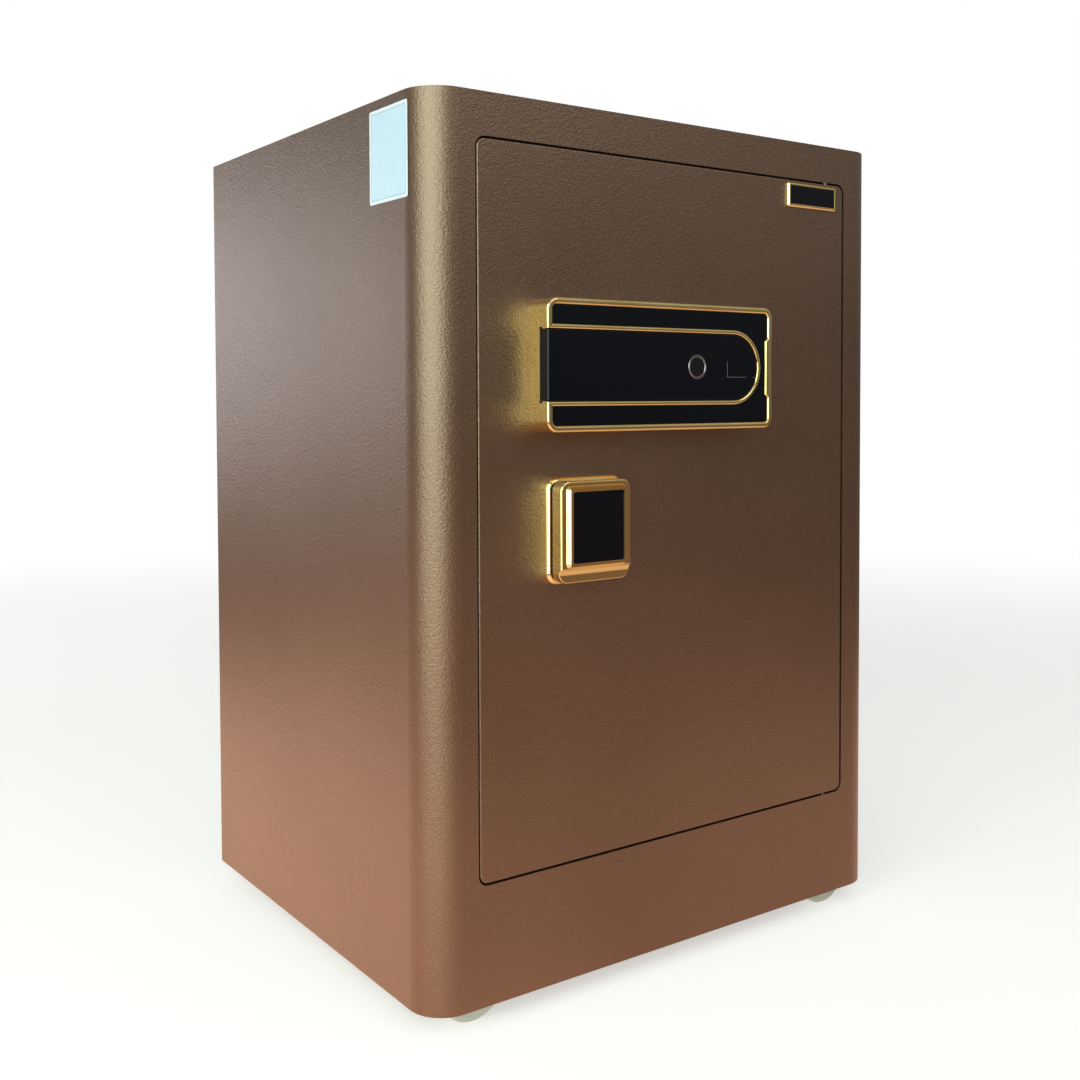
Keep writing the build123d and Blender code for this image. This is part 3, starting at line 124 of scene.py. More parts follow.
class SAFE_PG_finishes(bpy.types.PropertyGroup):
    """Colours of the finishes."""

    coat_light: colour_property("Coat, light", "Bronze coat where its flake lies denser", "#826854")
    coat_dark: colour_property("Coat, dark", "Bronze coat where its flake lies thinner", "#7A604C")
    liner: colour_property("Liner", "Beige coat of the inside", "#B3A48F")
    gold: colour_property("Gold", "Plating of the lock trim", "#F6E5A6")
    gold_deep: colour_property("Gold, deep", "Plating where it is thicker", "#EBD38A")
    acrylic: colour_property("Black panel", "Cast acrylic of the lock panel", "#060910")
    felt: colour_property("Felt", "Needle felt of the floor mat", "#3A322C")
    label: colour_property("Label field", "Blank field of the side label", "#CADDF0")
    label_edge: colour_property("Label border", "Border of the side label", "#E4E8F4")
    label_line: colour_property("Label line", "Hairline round the label's field", "#93A8B2")


class SAFE_PG_screws(bpy.types.PropertyGroup):
    """Shape of the screws' heads, points and cross recesses."""

    slot_width: length_property("Slot width", "Width of one arm of the recess", 0.9)
    slot_reach: length_property("Slot reach", "Length of one arm from the middle block", 1.3)
    slot_depth: length_property("Slot depth", "Depth of the recess", 1.2)
    slot_floor: share_property("Slot floor", "Width of the recess at its floor", 0.45)
    dome: share_property("Dome", "Rounding of the head, as a share of its height", 0.6)
    tip: share_property("Tip", "Width of the shank at its tip", 0.3)


class SAFE_PG_label(bpy.types.PropertyGroup):
    """Sizes of the side label."""

    corner: length_property("Corner radius", "Rounding of the label's corners", 1.5)
    border: length_property("Border", "Plain border outside the hairline", 2.2)
    line: length_property("Hairline", "Width of the hairline", 0.4)


class SAFE_PG_mat(bpy.types.PropertyGroup):
    """Sizes of the floor mat."""

    corner: length_property("Corner radius", "Rounding of the mat's corners", 3.0)
    nap: length_property("Edge rounding", "Rounding of the cut edge", 0.9)
    cell: length_property("Cell", "Distance between the cuts that let the felt lie uneven", 6.0)
    sag: length_property("Unevenness", "How far the face dips between its high spots", 0.9)
    wave: length_property("Wave", "Distance between the high spots", 45.0)


class SAFE_PG_wheels(bpy.types.PropertyGroup):
    """Sizes of the rollers."""

    ribs: bpy.props.IntProperty(name="Ribs", description="Ribs in each dished face", default=6, min=3)
    segments: bpy.props.IntProperty(name="Segments", description="Sides of the round tread", default=96)
    tread_round: length_property("Tread rounding", "Rounding between the tread and a face", 2.0)
    rim: length_property("Rim radius", "Inner radius of the rim", 18.0)
    hub: length_property("Hub radius", "Outer radius of the hub", 8.0)
    bore: length_property("Bore radius", "Radius of the hole for the axle", 4.15)
    dish: length_property("Dish depth", "Depth of the pockets between the ribs", 2.4)
    rib_sides: bpy.props.IntProperty(name="Rib width", description="Sides that a rib takes", default=2)
    rib_round: length_property("Rib rounding", "Rounding of the ribs and the rim", 0.4)


class SAFE_PG_edges(bpy.types.PropertyGroup):
    """Rounding of sharp edges on sheet and moulded pieces."""

    sheet: length_property("Sheet edge", "Rounding that the coat gives a cut sheet edge", 0.35)
    moulded: length_property("Moulded edge", "Rounding of an edge in a plastic moulding", 0.5)
    cast: length_property("Cast edge", "Rounding of an edge on polished castings", 0.25)


class SAFE_PG_cover(bpy.types.PropertyGroup):
    """Place and size of the painted highlight lines on the slide cover, in the frame of the safe."""

    left: length_property("Left", "Left end of the hairlines", 27.5)
    level: length_property("Level", "Height of the long hairline", 421.0)
    length: length_property("Length", "Length of the long hairline", 18.5)
    height: length_property("Height", "Height of the upright hairline", 11.0)
    gap: length_property("Gap", "Gap before the short hairline", 6.5)
    dash: length_property("Dash", "Length of the short hairline", 2.5)
    width: length_property("Width", "Width of a hairline", 0.22)
    proud: length_property("Thickness", "Thickness of the ink", 0.03)
    rounding: length_property("Rounding", "Rounding of the ink's edge", 0.012)
    # Grey of the painted highlight lines on the black cover.
    ink: colour_property("Ink", "Grey ink of the hairlines", "#7A8086")


class SAFE_PG_stage(bpy.types.PropertyGroup):
    """Camera, lamps and floor."""

    camera_place: bpy.props.FloatVectorProperty(
        name="Camera place",
        description="Where the lens stands",
        default=(-0.598, -0.836, 0.408),
        subtype="TRANSLATION",
        unit="LENGTH",
    )
    camera_yaw: bpy.props.FloatProperty(
        name="Camera yaw",
        description="Turn to the right of the door's normal",
        default=math.radians(35.37),
        subtype="ANGLE",
    )
    camera_pitch: bpy.props.FloatProperty(
        name="Camera pitch",
        description="Tilt above the horizon",
        default=math.radians(-2.0),
        subtype="ANGLE",
    )
    camera_roll: bpy.props.FloatProperty(
        name="Camera roll",
        description="Turn about the view",
        default=math.radians(-0.2),
        subtype="ANGLE",
    )
    focal_length: bpy.props.FloatProperty(
        name="Focal length",
        description="Lens on a 36 mm sensor, in millimetres",
        default=41.967,
        unit="CAMERA",
    )
    shift: bpy.props.FloatProperty(
        name="Vertical shift",
        description="Framing of the photograph, as a share of its width",
        default=-0.0924,
    )
    corner_power: bpy.props.FloatProperty(
        name="Corner lamp",
        description="Soft lamp whose reflection runs down the rounded front corner",
        default=40.0,
        subtype="POWER",
    )
    side_power: bpy.props.FloatProperty(
        name="Side lamp",
        description="Soft lamp behind the left side",
        default=2.4,
        subtype="POWER",
    )
    front_power: bpy.props.FloatProperty(
        name="Front lamp",
        description="Soft lamp above the front",
        default=7.0,
        subtype="POWER",
    )
    ambient: share_property("Ambient light", "Even light from all round, where 1 is white", 0.3)
    sky_glow: colour_property("Surroundings in gloss", "Tone of the studio in gloss", "#FFF7EA")
    floor_colour: colour_property("Floor", "Paint of the floor", "#E9E6E2")
    # Colour of the floor's painted warm glow, which only the gloss sees.
    floor_glow: colour_property("Floor in gloss", "Warm tone that the floor has in gloss", "#FFCDB0")
    floor_size: bpy.props.FloatProperty(
        name="Floor size", description="Side of the floor", default=30.0, unit="LENGTH"
    )


def add_node(tree, kind, output=None, inputs=None, **settings):
    """Adds a node, sets its options and fills its inputs with values or links.

    It gives back the named output, or the whole node where none is named.
    """
    node = tree.nodes.new(kind)
    for name, value in settings.items():
        setattr(node, name, value)
    for name, value in (inputs or {}).items():
        if isinstance(value, bpy.types.NodeSocket):
            tree.links.new(value, node.inputs[name])
        else:
            node.inputs[name].default_value = value
    return node if output is None else node.outputs[output]


def new_material(name):
    """An empty node material, with the Object coordinates that its patterns read."""
    material = bpy.data.materials.new(name)
    material.use_nodes = True
    tree = material.node_tree
    tree.nodes.clear()
    place = add_node(tree, "ShaderNodeTexCoord", "Object")
    return material, tree, place


def close_material(material, tree, values):
    """Ends a material in a Principled shader with those values."""
    shader = add_node(tree, "ShaderNodeBsdfPrincipled", "BSDF", values)
    add_node(tree, "ShaderNodeOutputMaterial", inputs={"Surface": shader})
    return material


def per_metre(size_mm):
    """Texture scale for a pattern whose repeat is that many millimetres."""
    return 1.0 / (size_mm * MM)


def bronze_powder_coat(colours):
    """Bronze metallic powder coat, sprayed and baked.

    The film flows into lumps under 2 mm across, an orange peel that breaks up each highlight, and the
    metal flake under the clear resin gives it a fine glitter and a tone that drifts over a hand's width.
    """
    material, tree, place = new_material("bronze powder coat, baked")
    peel = add_node(tree, "ShaderNodeTexNoise", "Fac", {
        "Vector": place, "Scale": per_metre(1.8), "Detail": 3.0, "Roughness": 0.6,
    })
    # Real flake is under 0.1 mm. It is drawn at 0.9 mm, the finest that still shows in the picture.
    flake = add_node(tree, "ShaderNodeTexNoise", "Fac", {
        "Vector": place, "Scale": per_metre(0.9), "Detail": 2.0, "Roughness": 0.7,
    })
    cloud = add_node(tree, "ShaderNodeTexNoise", "Fac", {
        "Vector": place, "Scale": per_metre(160.0), "Detail": 2.0, "Roughness": 0.5,
    })
    drift = add_node(tree, "ShaderNodeMapRange", "Result", {**MIDDLE, "Value": cloud})
    colour = add_node(tree, "ShaderNodeMix", MIXED, {
        0: drift, 6: colours.coat_dark, 7: colours.coat_light,
    }, data_type="RGBA")
    gloss = add_node(tree, "ShaderNodeMapRange", "Result", {
        **MIDDLE, "Value": flake, "To Min": 0.34, "To Max": 0.46,
    })
    lumps = add_node(tree, "ShaderNodeBump", "Normal", {
        "Strength": 0.85, "Distance": 0.36 * MM, "Height": peel,
    })
    glitter = add_node(tree, "ShaderNodeBump", "Normal", {
        "Strength": 0.7, "Distance": 0.16 * MM, "Height": flake, "Normal": lumps,
    })
    return close_material(material, tree, {
        "Base Color": colour,
        "Metallic": 0.92,
        "Roughness": gloss,
        "Normal": glitter,
        "Coat Weight": 1.0,
        "Coat Roughness": 0.24,
        "Coat Normal": glitter,
    })


def liner_powder_coat(colours):
    """Beige polyester powder coat of the inside.

    It is sprayed thinner than the outside and without flake, so it is flat in colour, with a fine
    wrinkle about 1.6 mm across and a soft satin gloss. It is greyer where the spray reached less.
    """
    material, tree, place = new_material("polyester powder coat, beige satin")
    wrinkle = add_node(tree, "ShaderNodeTexNoise", "Fac", {
        "Vector": place, "Scale": per_metre(1.6), "Detail": 4.0, "Roughness": 0.65,
    })
    cloud = add_node(tree, "ShaderNodeTexNoise", "Fac", {
        "Vector": place, "Scale": per_metre(120.0), "Detail": 2.0, "Roughness": 0.6,
    })
    drift = add_node(tree, "ShaderNodeMapRange", "Result", {**MIDDLE, "Value": cloud})
    colour = add_node(tree, "ShaderNodeMix", MIXED, {
        0: drift, 6: shade_of(colours.liner, 0.9), 7: colours.liner,
    }, data_type="RGBA")
    gloss = add_node(tree, "ShaderNodeMapRange", "Result", {
        **MIDDLE, "Value": wrinkle, "To Min": 0.44, "To Max": 0.58,
    })
    relief = add_node(tree, "ShaderNodeBump", "Normal", {
        "Strength": 0.55, "Distance": 0.1 * MM, "Height": wrinkle,
    })
    return close_material(material, tree, {"Base Color": colour, "Roughness": gloss, "Normal": relief})


def zinc_plated_steel():
    """Steel pressings and turned pieces, barrel plated with zinc and passivated.

    The plate is dull silver with a fine drawn grain, and the passivation leaves faint blue and straw
    patches some centimetres across.
    """
    material, tree, place = new_material("steel, zinc plated")
    drawn = add_node(tree, "ShaderNodeMapping", "Vector", {"Vector": place, "Scale": (1.0, 1.0, 0.12)})
    # The drawn lines are about 0.1 mm apart. They are drawn at 0.7 mm so that they show.
    lines = add_node(tree, "ShaderNodeTexNoise", "Fac", {
        "Vector": drawn, "Scale": per_metre(0.7), "Detail": 3.0, "Roughness": 0.6,
    })
    patch = add_node(tree, "ShaderNodeTexNoise", "Fac", {
        "Vector": place, "Scale": per_metre(24.0), "Detail": 3.0, "Roughness": 0.6,
    })
    tint = add_node(tree, "ShaderNodeMapRange", "Result", {**MIDDLE, "Value": patch})
    colour = add_node(tree, "ShaderNodeMix", MIXED, {
        0: tint, 6: hex_colour("#AEB4BA"), 7: hex_colour("#C2BEAE"),
    }, data_type="RGBA")
    gloss = add_node(tree, "ShaderNodeMapRange", "Result", {
        **MIDDLE, "Value": lines, "To Min": 0.26, "To Max": 0.42,
    })
    relief = add_node(tree, "ShaderNodeBump", "Normal", {
        "Strength": 0.4, "Distance": 0.03 * MM, "Height": lines,
    })
    return close_material(material, tree, {
        "Base Color": colour, "Metallic": 1.0, "Roughness": gloss, "Normal": relief,
    })


def chromed_steel():
    """Steel bar, turned, polished and chromed.

    The mirror is nearly clean, with the cool grey of chrome, faint rings left by the lathe and a
    haze of fine scratches where the bolts slide.
    """
    material, tree, place = new_material("steel, turned and chromed")
    # The lathe's rings are 0.1 mm apart. They are drawn 7.5 mm apart, as soft waves, so that they show.
    # A wave texture turns by 20 radians in each unit of its scale.
    rings = add_node(tree, "ShaderNodeTexWave", "Fac", {
        "Vector": place, "Scale": per_metre(7.54) * 2 * math.pi / 20, "Distortion": 0.6, "Detail": 2.0,
    }, bands_direction="X")
    haze = add_node(tree, "ShaderNodeTexNoise", "Fac", {
        "Vector": place, "Scale": per_metre(3.0), "Detail": 4.0, "Roughness": 0.7,
    })
    dulling = add_node(tree, "ShaderNodeMapRange", "Result", {**MIDDLE, "Value": haze})
    colour = add_node(tree, "ShaderNodeMix", MIXED, {
        0: dulling, 6: hex_colour("#C6C8CB"), 7: hex_colour("#D4D4D4"),
    }, data_type="RGBA")
    gloss = add_node(tree, "ShaderNodeMapRange", "Result", {
        **MIDDLE, "Value": haze, "To Min": 0.08, "To Max": 0.17,
    })
    relief = add_node(tree, "ShaderNodeBump", "Normal", {
        "Strength": 0.4, "Distance": 0.008 * MM, "Height": rings,
    })
    return close_material(material, tree, {
        "Base Color": colour, "Metallic": 1.0, "Roughness": gloss, "Normal": relief,
    })


def gold_plate(colours):
    """Zinc castings, polished and gold plated under clear lacquer.

    The plate is a warm mirror. Polishing leaves it very slightly wavy over a few millimetres, so its
    reflections swim, and the lacquer puts a thin white glint on every rounded edge.
    """
    material, tree, place = new_material("zinc casting, polished and gold plated")
    wave = add_node(tree, "ShaderNodeTexNoise", "Fac", {
        "Vector": place, "Scale": per_metre(9.0), "Detail": 1.0, "Roughness": 0.4,
    })
    haze = add_node(tree, "ShaderNodeTexNoise", "Fac", {
        "Vector": place, "Scale": per_metre(1.4), "Detail": 3.0, "Roughness": 0.6,
    })
    cloud = add_node(tree, "ShaderNodeTexNoise", "Fac", {
        "Vector": place, "Scale": per_metre(30.0), "Detail": 2.0, "Roughness": 0.6,
    })
    thickness = add_node(tree, "ShaderNodeMapRange", "Result", {**MIDDLE, "Value": cloud})
    colour = add_node(tree, "ShaderNodeMix", MIXED, {
        0: thickness, 6: colours.gold_deep, 7: colours.gold,
    }, data_type="RGBA")
    gloss = add_node(tree, "ShaderNodeMapRange", "Result", {
        **MIDDLE, "Value": haze, "To Min": 0.06, "To Max": 0.12,
    })
    relief = add_node(tree, "ShaderNodeBump", "Normal", {
        "Strength": 0.35, "Distance": 0.03 * MM, "Height": wave,
    })
    return close_material(material, tree, {
        "Base Color": colour,
        "Metallic": 1.0,
        "Roughness": gloss,
        "Normal": relief,
        "Coat Weight": 0.5,
        "Coat Roughness": 0.04,
    })


def cast_acrylic(colours):
    """Black cast acrylic, polished.

    A deep black mirror with a blue cast. It is almost perfectly flat, and only a trace of haze from
    wiping softens what it reflects.
    """
    material, tree, place = new_material("acrylic, cast black and polished")
    wiped = add_node(tree, "ShaderNodeMapping", "Vector", {"Vector": place, "Scale": (0.15, 1.0, 1.0)})
    haze = add_node(tree, "ShaderNodeTexNoise", "Fac", {
        "Vector": wiped, "Scale": per_metre(6.0), "Detail": 4.0, "Roughness": 0.65,
    })
    wave = add_node(tree, "ShaderNodeTexNoise", "Fac", {
        "Vector": place, "Scale": per_metre(40.0), "Detail": 1.0, "Roughness": 0.6,
    })
    gloss = add_node(tree, "ShaderNodeMapRange", "Result", {
        **MIDDLE, "Value": haze, "To Min": 0.03, "To Max": 0.09,
    })
    relief = add_node(tree, "ShaderNodeBump", "Normal", {
        "Strength": 0.2, "Distance": 0.02 * MM, "Height": wave,
    })
    return close_material(material, tree, {
        "Base Color": colours.acrylic,
        "Roughness": gloss,
        "IOR": 1.49,
        "Specular IOR Level": 0.28,
        "Normal": relief,
    })


def moulded_abs():
    """Black ABS, injection moulded in a spark eroded tool.

    The tool's fine texture makes it matt and slightly grey, with no mirror at all.
    """
    material, tree, place = new_material("ABS, moulded black, spark texture")
    # Spark texture is about 0.2 mm. It is drawn at 0.8 mm so that it shows.
    spark = add_node(tree, "ShaderNodeTexNoise", "Fac", {
        "Vector": place, "Scale": per_metre(0.8), "Detail": 3.0, "Roughness": 0.7,
    })
    flow = add_node(tree, "ShaderNodeTexNoise", "Fac", {
        "Vector": place, "Scale": per_metre(18.0), "Detail": 2.0, "Roughness": 0.6,
    })
    streak = add_node(tree, "ShaderNodeMapRange", "Result", {**MIDDLE, "Value": flow})
    colour = add_node(tree, "ShaderNodeMix", MIXED, {
        0: streak, 6: hex_colour("#161617"), 7: hex_colour("#202021"),
    }, data_type="RGBA")
    gloss = add_node(tree, "ShaderNodeMapRange", "Result", {
        **MIDDLE, "Value": spark, "To Min": 0.4, "To Max": 0.55,
    })
    relief = add_node(tree, "ShaderNodeBump", "Normal", {
        "Strength": 0.6, "Distance": 0.06 * MM, "Height": spark,
    })
    return close_material(material, tree, {"Base Color": colour, "Roughness": gloss, "Normal": relief})


def satin_steel():
    """Stainless ring, turned and satin finished.

    It is pale grey with a soft broad highlight. Its turning lines are finer than 0.1 mm and are drawn
    at 0.5 mm, as a faint unevenness of the gloss.
    """
    material, tree, place = new_material("stainless steel, satin turned")
    lines = add_node(tree, "ShaderNodeTexNoise", "Fac", {
        "Vector": place, "Scale": per_metre(0.5), "Detail": 3.0, "Roughness": 0.6,
    })
    gloss = add_node(tree, "ShaderNodeMapRange", "Result", {
        **MIDDLE, "Value": lines, "To Min": 0.22, "To Max": 0.36,
    })
    relief = add_node(tree, "ShaderNodeBump", "Normal", {
        "Strength": 0.3, "Distance": 0.01 * MM, "Height": lines,
    })
    return close_material(material, tree, {
        "Base Color": hex_colour("#909298"), "Metallic": 1.0, "Roughness": gloss, "Normal": relief,
    })


def smoked_glass():
    """Coated sensor glass, ground and polished.

    It is nearly black, a little greyer than the acrylic round it, and clean except for the faint
    smear that a finger leaves.
    """
    material, tree, place = new_material("sensor glass, coated and polished")
    smear = add_node(tree, "ShaderNodeTexNoise", "Fac", {
        "Vector": place, "Scale": per_metre(3.0), "Detail": 4.0, "Roughness": 0.7,
    })
    film = add_node(tree, "ShaderNodeMapRange", "Result", {**MIDDLE, "Value": smear})
    colour = add_node(tree, "ShaderNodeMix", MIXED, {
        0: film, 6: hex_colour("#0D0D10"), 7: hex_colour("#141418"),
    }, data_type="RGBA")
    gloss = add_node(tree, "ShaderNodeMapRange", "Result", {
        **MIDDLE, "Value": smear, "To Min": 0.05, "To Max": 0.2,
    })
    relief = add_node(tree, "ShaderNodeBump", "Normal", {
        "Strength": 0.2, "Distance": 0.01 * MM, "Height": smear,
    })
    return close_material(material, tree, {
        "Base Color": colour,
        "Roughness": gloss,
        "IOR": 1.52,
        "Specular IOR Level": 0.4,
        "Normal": relief,
    })


def moulded_nylon():
    """Natural nylon, injection moulded.

    Milky off-white and slightly waxy, with faint flow marks about 12 mm long and pores that keep its
    gloss low.
    """
    material, tree, place = new_material("nylon, moulded natural")
    flow = add_node(tree, "ShaderNodeTexNoise", "Fac", {
        "Vector": place, "Scale": per_metre(12.0), "Detail": 3.0, "Roughness": 0.6,
    })
    # Real pores are too small to see. They are drawn at 1.5 mm.
    pores = add_node(tree, "ShaderNodeTexNoise", "Fac", {
        "Vector": place, "Scale": per_metre(1.5), "Detail": 3.0, "Roughness": 0.7,
    })
    streak = add_node(tree, "ShaderNodeMapRange", "Result", {**MIDDLE, "Value": flow})
    colour = add_node(tree, "ShaderNodeMix", MIXED, {
        0: streak, 6: hex_colour("#D6D1C4"), 7: hex_colour("#E6E3DA"),
    }, data_type="RGBA")
    gloss = add_node(tree, "ShaderNodeMapRange", "Result", {
        **MIDDLE, "Value": pores, "To Min": 0.34, "To Max": 0.5,
    })
    relief = add_node(tree, "ShaderNodeBump", "Normal", {
        "Strength": 0.4, "Distance": 0.03 * MM, "Height": pores,
    })
    return close_material(material, tree, {
        "Base Color": colour,
        "Roughness": gloss,
        "IOR": 1.53,
        "Subsurface Weight": 0.08,
        "Subsurface Radius": (2.0 * MM, 1.5 * MM, 1.0 * MM),
        "Normal": relief,
    })


def needle_felt(colours):
    """Polyester needle felt, punched and cut from the roll.

    Short fibres lie every way, so it is matt, dark and mottled, with a soft pale sheen where it is
    seen at a low angle. Punching leaves pits about 2 mm apart.
    """
    material, tree, place = new_material("polyester felt, needle punched")
    turned = add_node(tree, "ShaderNodeMapping", "Vector", {"Vector": place, "Scale": (1.0, 0.18, 1.0)})
    # A fibre is 0.03 mm thick. The streaks are drawn 0.8 mm wide so that they show.
    fibres = add_node(tree, "ShaderNodeTexNoise", "Fac", {
        "Vector": turned, "Scale": per_metre(0.8), "Detail": 4.0, "Roughness": 0.7,
    })
    pits = add_node(tree, "ShaderNodeTexVoronoi", "Distance", {"Vector": place, "Scale": per_metre(2.0)})
    mottle = add_node(tree, "ShaderNodeMapRange", "Result", {**MIDDLE, "Value": fibres})
    colour = add_node(tree, "ShaderNodeMix", MIXED, {
        0: mottle, 6: colours.felt, 7: shade_of(colours.felt, 1.9),
    }, data_type="RGBA")
    punched = add_node(tree, "ShaderNodeBump", "Normal", {
        "Strength": 0.5, "Distance": 0.4 * MM, "Height": pits,
    })
    relief = add_node(tree, "ShaderNodeBump", "Normal", {
        "Strength": 0.7, "Distance": 0.3 * MM, "Height": fibres, "Normal": punched,
    })
    return close_material(material, tree, {
        "Base Color": colour,
        "Roughness": 0.95,
        "Sheen Weight": 0.2,
        "Sheen Roughness": 0.5,
        "Normal": relief,
    })


def label_film(name, base):
    """Printed polyester film, or its ink, under a thin gloss varnish.

    It is smooth and pale, takes a soft highlight, and shows the peel of the coat under it as a very
    low wave.
    """
    material, tree, place = new_material(name)
    wave = add_node(tree, "ShaderNodeTexNoise", "Fac", {
        "Vector": place, "Scale": per_metre(5.0), "Detail": 2.0, "Roughness": 0.6,
    })
    # The varnish's own haze is finer than 0.1 mm. It is drawn at 0.8 mm so that it shows.
    haze = add_node(tree, "ShaderNodeTexNoise", "Fac", {
        "Vector": place, "Scale": per_metre(0.8), "Detail": 3.0, "Roughness": 0.6,
    })
    unevenness = add_node(tree, "ShaderNodeMapRange", "Result", {**MIDDLE, "Value": wave})
    colour = add_node(tree, "ShaderNodeMix", MIXED, {
        0: unevenness, 6: shade_of(base, 0.96), 7: base,
    }, data_type="RGBA")
    gloss = add_node(tree, "ShaderNodeMapRange", "Result", {
        **MIDDLE, "Value": haze, "To Min": 0.32, "To Max": 0.44,
    })
    relief = add_node(tree, "ShaderNodeBump", "Normal", {
        "Strength": 0.4, "Distance": 0.03 * MM, "Height": wave,
    })
    return close_material(material, tree, {"Base Color": colour, "Roughness": gloss, "Normal": relief})


def red_abs():
    """Red ABS, moulded in a polished tool.

    Glossy and even in colour, with the faint wave that such a small thick moulding sinks into.
    """
    material, tree, place = new_material("ABS, moulded red, polished")
    sink = add_node(tree, "ShaderNodeTexNoise", "Fac", {
        "Vector": place, "Scale": per_metre(4.0), "Detail": 1.0, "Roughness": 0.6,
    })
    gloss = add_node(tree, "ShaderNodeMapRange", "Result", {
        **MIDDLE, "Value": sink, "To Min": 0.18, "To Max": 0.28,
    })
    relief = add_node(tree, "ShaderNodeBump", "Normal", {
        "Strength": 0.3, "Distance": 0.04 * MM, "Height": sink,
    })
    return close_material(material, tree, {
        "Base Color": hex_colour("#A8201A"), "Roughness": gloss, "Normal": relief,
    })


def make_finishes(colours):
    """Every finish, by the record's material slot."""
    return {
        "bronze_coat": bronze_powder_coat(colours),
        "liner_coat": liner_powder_coat(colours),
        "zinc_steel": zinc_plated_steel(),
        "bolt_chrome": chromed_steel(),
        "gilt": gold_plate(colours),
        "black_gloss": cast_acrylic(colours),
        "black_plastic": moulded_abs(),
        "reader_steel": satin_steel(),
        "reader_glass": smoked_glass(),
        "wheel_nylon": moulded_nylon(),
        "mat_felt": needle_felt(colours),
        "label_paper": label_film("polyester label film, border", colours.label_edge),
        "button_red": red_abs(),
    }


finishes = {}
node_slots = {part["node"]: part["material_slot"] for part in frame["record"]["subparts"]}


class SAFE_OT_finishes(bpy.types.Operator):
    """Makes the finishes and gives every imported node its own"""

    bl_idname = "safe.finishes"
    bl_label = "Finishes"

    def execute(self, context):
        finishes.update(make_finishes(context.scene.safe_finishes))
        for node, slot in node_slots.items():
            materials = frame["nodes"][node].data.materials
            materials.clear()
            materials.append(finishes[slot])
        return {"FINISHED"}


def take(piece):
    """Selects that piece alone and makes it active."""
    bpy.ops.object.select_all(action="DESELECT")
    piece.select_set(True)
    bpy.context.view_layer.objects.active = piece


def settle(piece):
    """Puts a piece's place, turn and size into its mesh."""
    take(piece)
    bpy.ops.object.transform_apply(location=True, rotation=True, scale=True)


def pick(piece, kind, test):
    """Edit mode on a piece, with only the faces or edges that pass the test selected."""
    if bpy.context.mode == "OBJECT":
        take(piece)
        bpy.ops.object.mode_set(mode="EDIT")
    bpy.ops.mesh.select_mode(type=kind)
    bpy.ops.mesh.select_all(action="DESELECT")
    mesh = bmesh.from_edit_mesh(piece.data)
    mesh.normal_update()
    for item in mesh.faces if kind == "FACE" else mesh.edges:
        if test(item):
            item.select_set(True)
    bmesh.update_edit_mesh(piece.data)


def leave():
    """Back to object mode."""
    bpy.ops.object.mode_set(mode="OBJECT")


def edge_line(edge):
    """Middle and direction of an edge."""
    first, second = (vert.co for vert in edge.verts)
    return (first + second) / 2, (second - first).normalized()


def add_block(name, low, high):
    """A box between two corners, with its place in its mesh."""
    bpy.ops.object.select_all(action="DESELECT")
    bpy.ops.mesh.primitive_cube_add(size=1, location=(low + high) / 2)
    piece = bpy.context.object
    piece.name = name
    piece.scale = high - low
    settle(piece)
    return piece


def run_modifier(piece, kind, **settings):
    """Adds a modifier and applies it."""
    take(piece)
    modifier = piece.modifiers.new(kind.lower(), kind)
    for name, value in settings.items():
        setattr(modifier, name, value)
    bpy.ops.object.modifier_apply(modifier=modifier.name)


def smooth(piece, degrees=35):
    """Smooth shading across bends gentler than the angle."""
    take(piece)
    bpy.ops.object.shade_smooth_by_angle(angle=math.radians(degrees))


def dress(piece, node):
    """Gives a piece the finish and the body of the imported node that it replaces."""
    if not piece.data.materials:
        piece.data.materials.append(finishes[node_slots[node]])
    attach(piece, frame["nodes"][node]["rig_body"])
    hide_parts(node)


def merged_copy(node, name):
    """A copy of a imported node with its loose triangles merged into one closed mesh."""
    piece = bpy.data.objects.new(name, frame["nodes"][node].data.copy())
    bpy.context.scene.collection.objects.link(piece)
    piece.data.materials.clear()
    take(piece)
    bpy.ops.mesh.customdata_custom_splitnormals_clear()
    bpy.ops.object.mode_set(mode="EDIT")
    bpy.ops.mesh.select_all(action="SELECT")
    bpy.ops.mesh.remove_doubles(threshold=0.002 * MM)
    bpy.ops.mesh.normals_make_consistent(inside=False)
    leave()
    return piece


def solid_boxes(node):
    """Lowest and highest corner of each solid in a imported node."""
    take(merged_copy(node, "measured"))
    bpy.ops.mesh.separate(type="LOOSE")
    loose = list(bpy.context.selected_objects)
    boxes = []
    for piece in loose:
        places = [vert.co for vert in piece.data.vertices]
        low = Vector([min(place[axis] for place in places) for axis in range(3)])
        high = Vector([max(place[axis] for place in places) for axis in range(3)])
        boxes.append((low, high))
    for piece in loose:
        bpy.data.objects.remove(piece)
    return sorted(boxes, key=lambda box: tuple(box[0]))


def soften(node, width):
    """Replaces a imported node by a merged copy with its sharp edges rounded."""
    piece = merged_copy(node, node + "_softened")
    bpy.ops.object.mode_set(mode="EDIT")
    bpy.ops.mesh.select_all(action="SELECT")
    bpy.ops.mesh.dissolve_limited(angle_limit=math.radians(0.5))
    leave()
    run_modifier(
        piece,
        "BEVEL",
        width=width,
        segments=2,
        limit_method="ANGLE",
        angle_limit=math.radians(40),
    )
    smooth(piece)
    dress(piece, node)


class SAFE_OT_soft_edges(bpy.types.Operator):
    """Rounds the sharp edges of sheet, moulded and cast pieces, as coat, tool and polish do"""

    bl_idname = "safe.soft_edges"
    bl_label = "Soft edges"

    def execute(self, context):
        edges = context.scene.safe_edges
        for node in ("shelf", "hinge_blocks", "dead_bar"):
            soften(node, edges.sheet)
        for node in ("reset_switch", "reset_button"):
            soften(node, edges.moulded)
        soften("nameplate_frame", edges.cast)
        return {"FINISHED"}


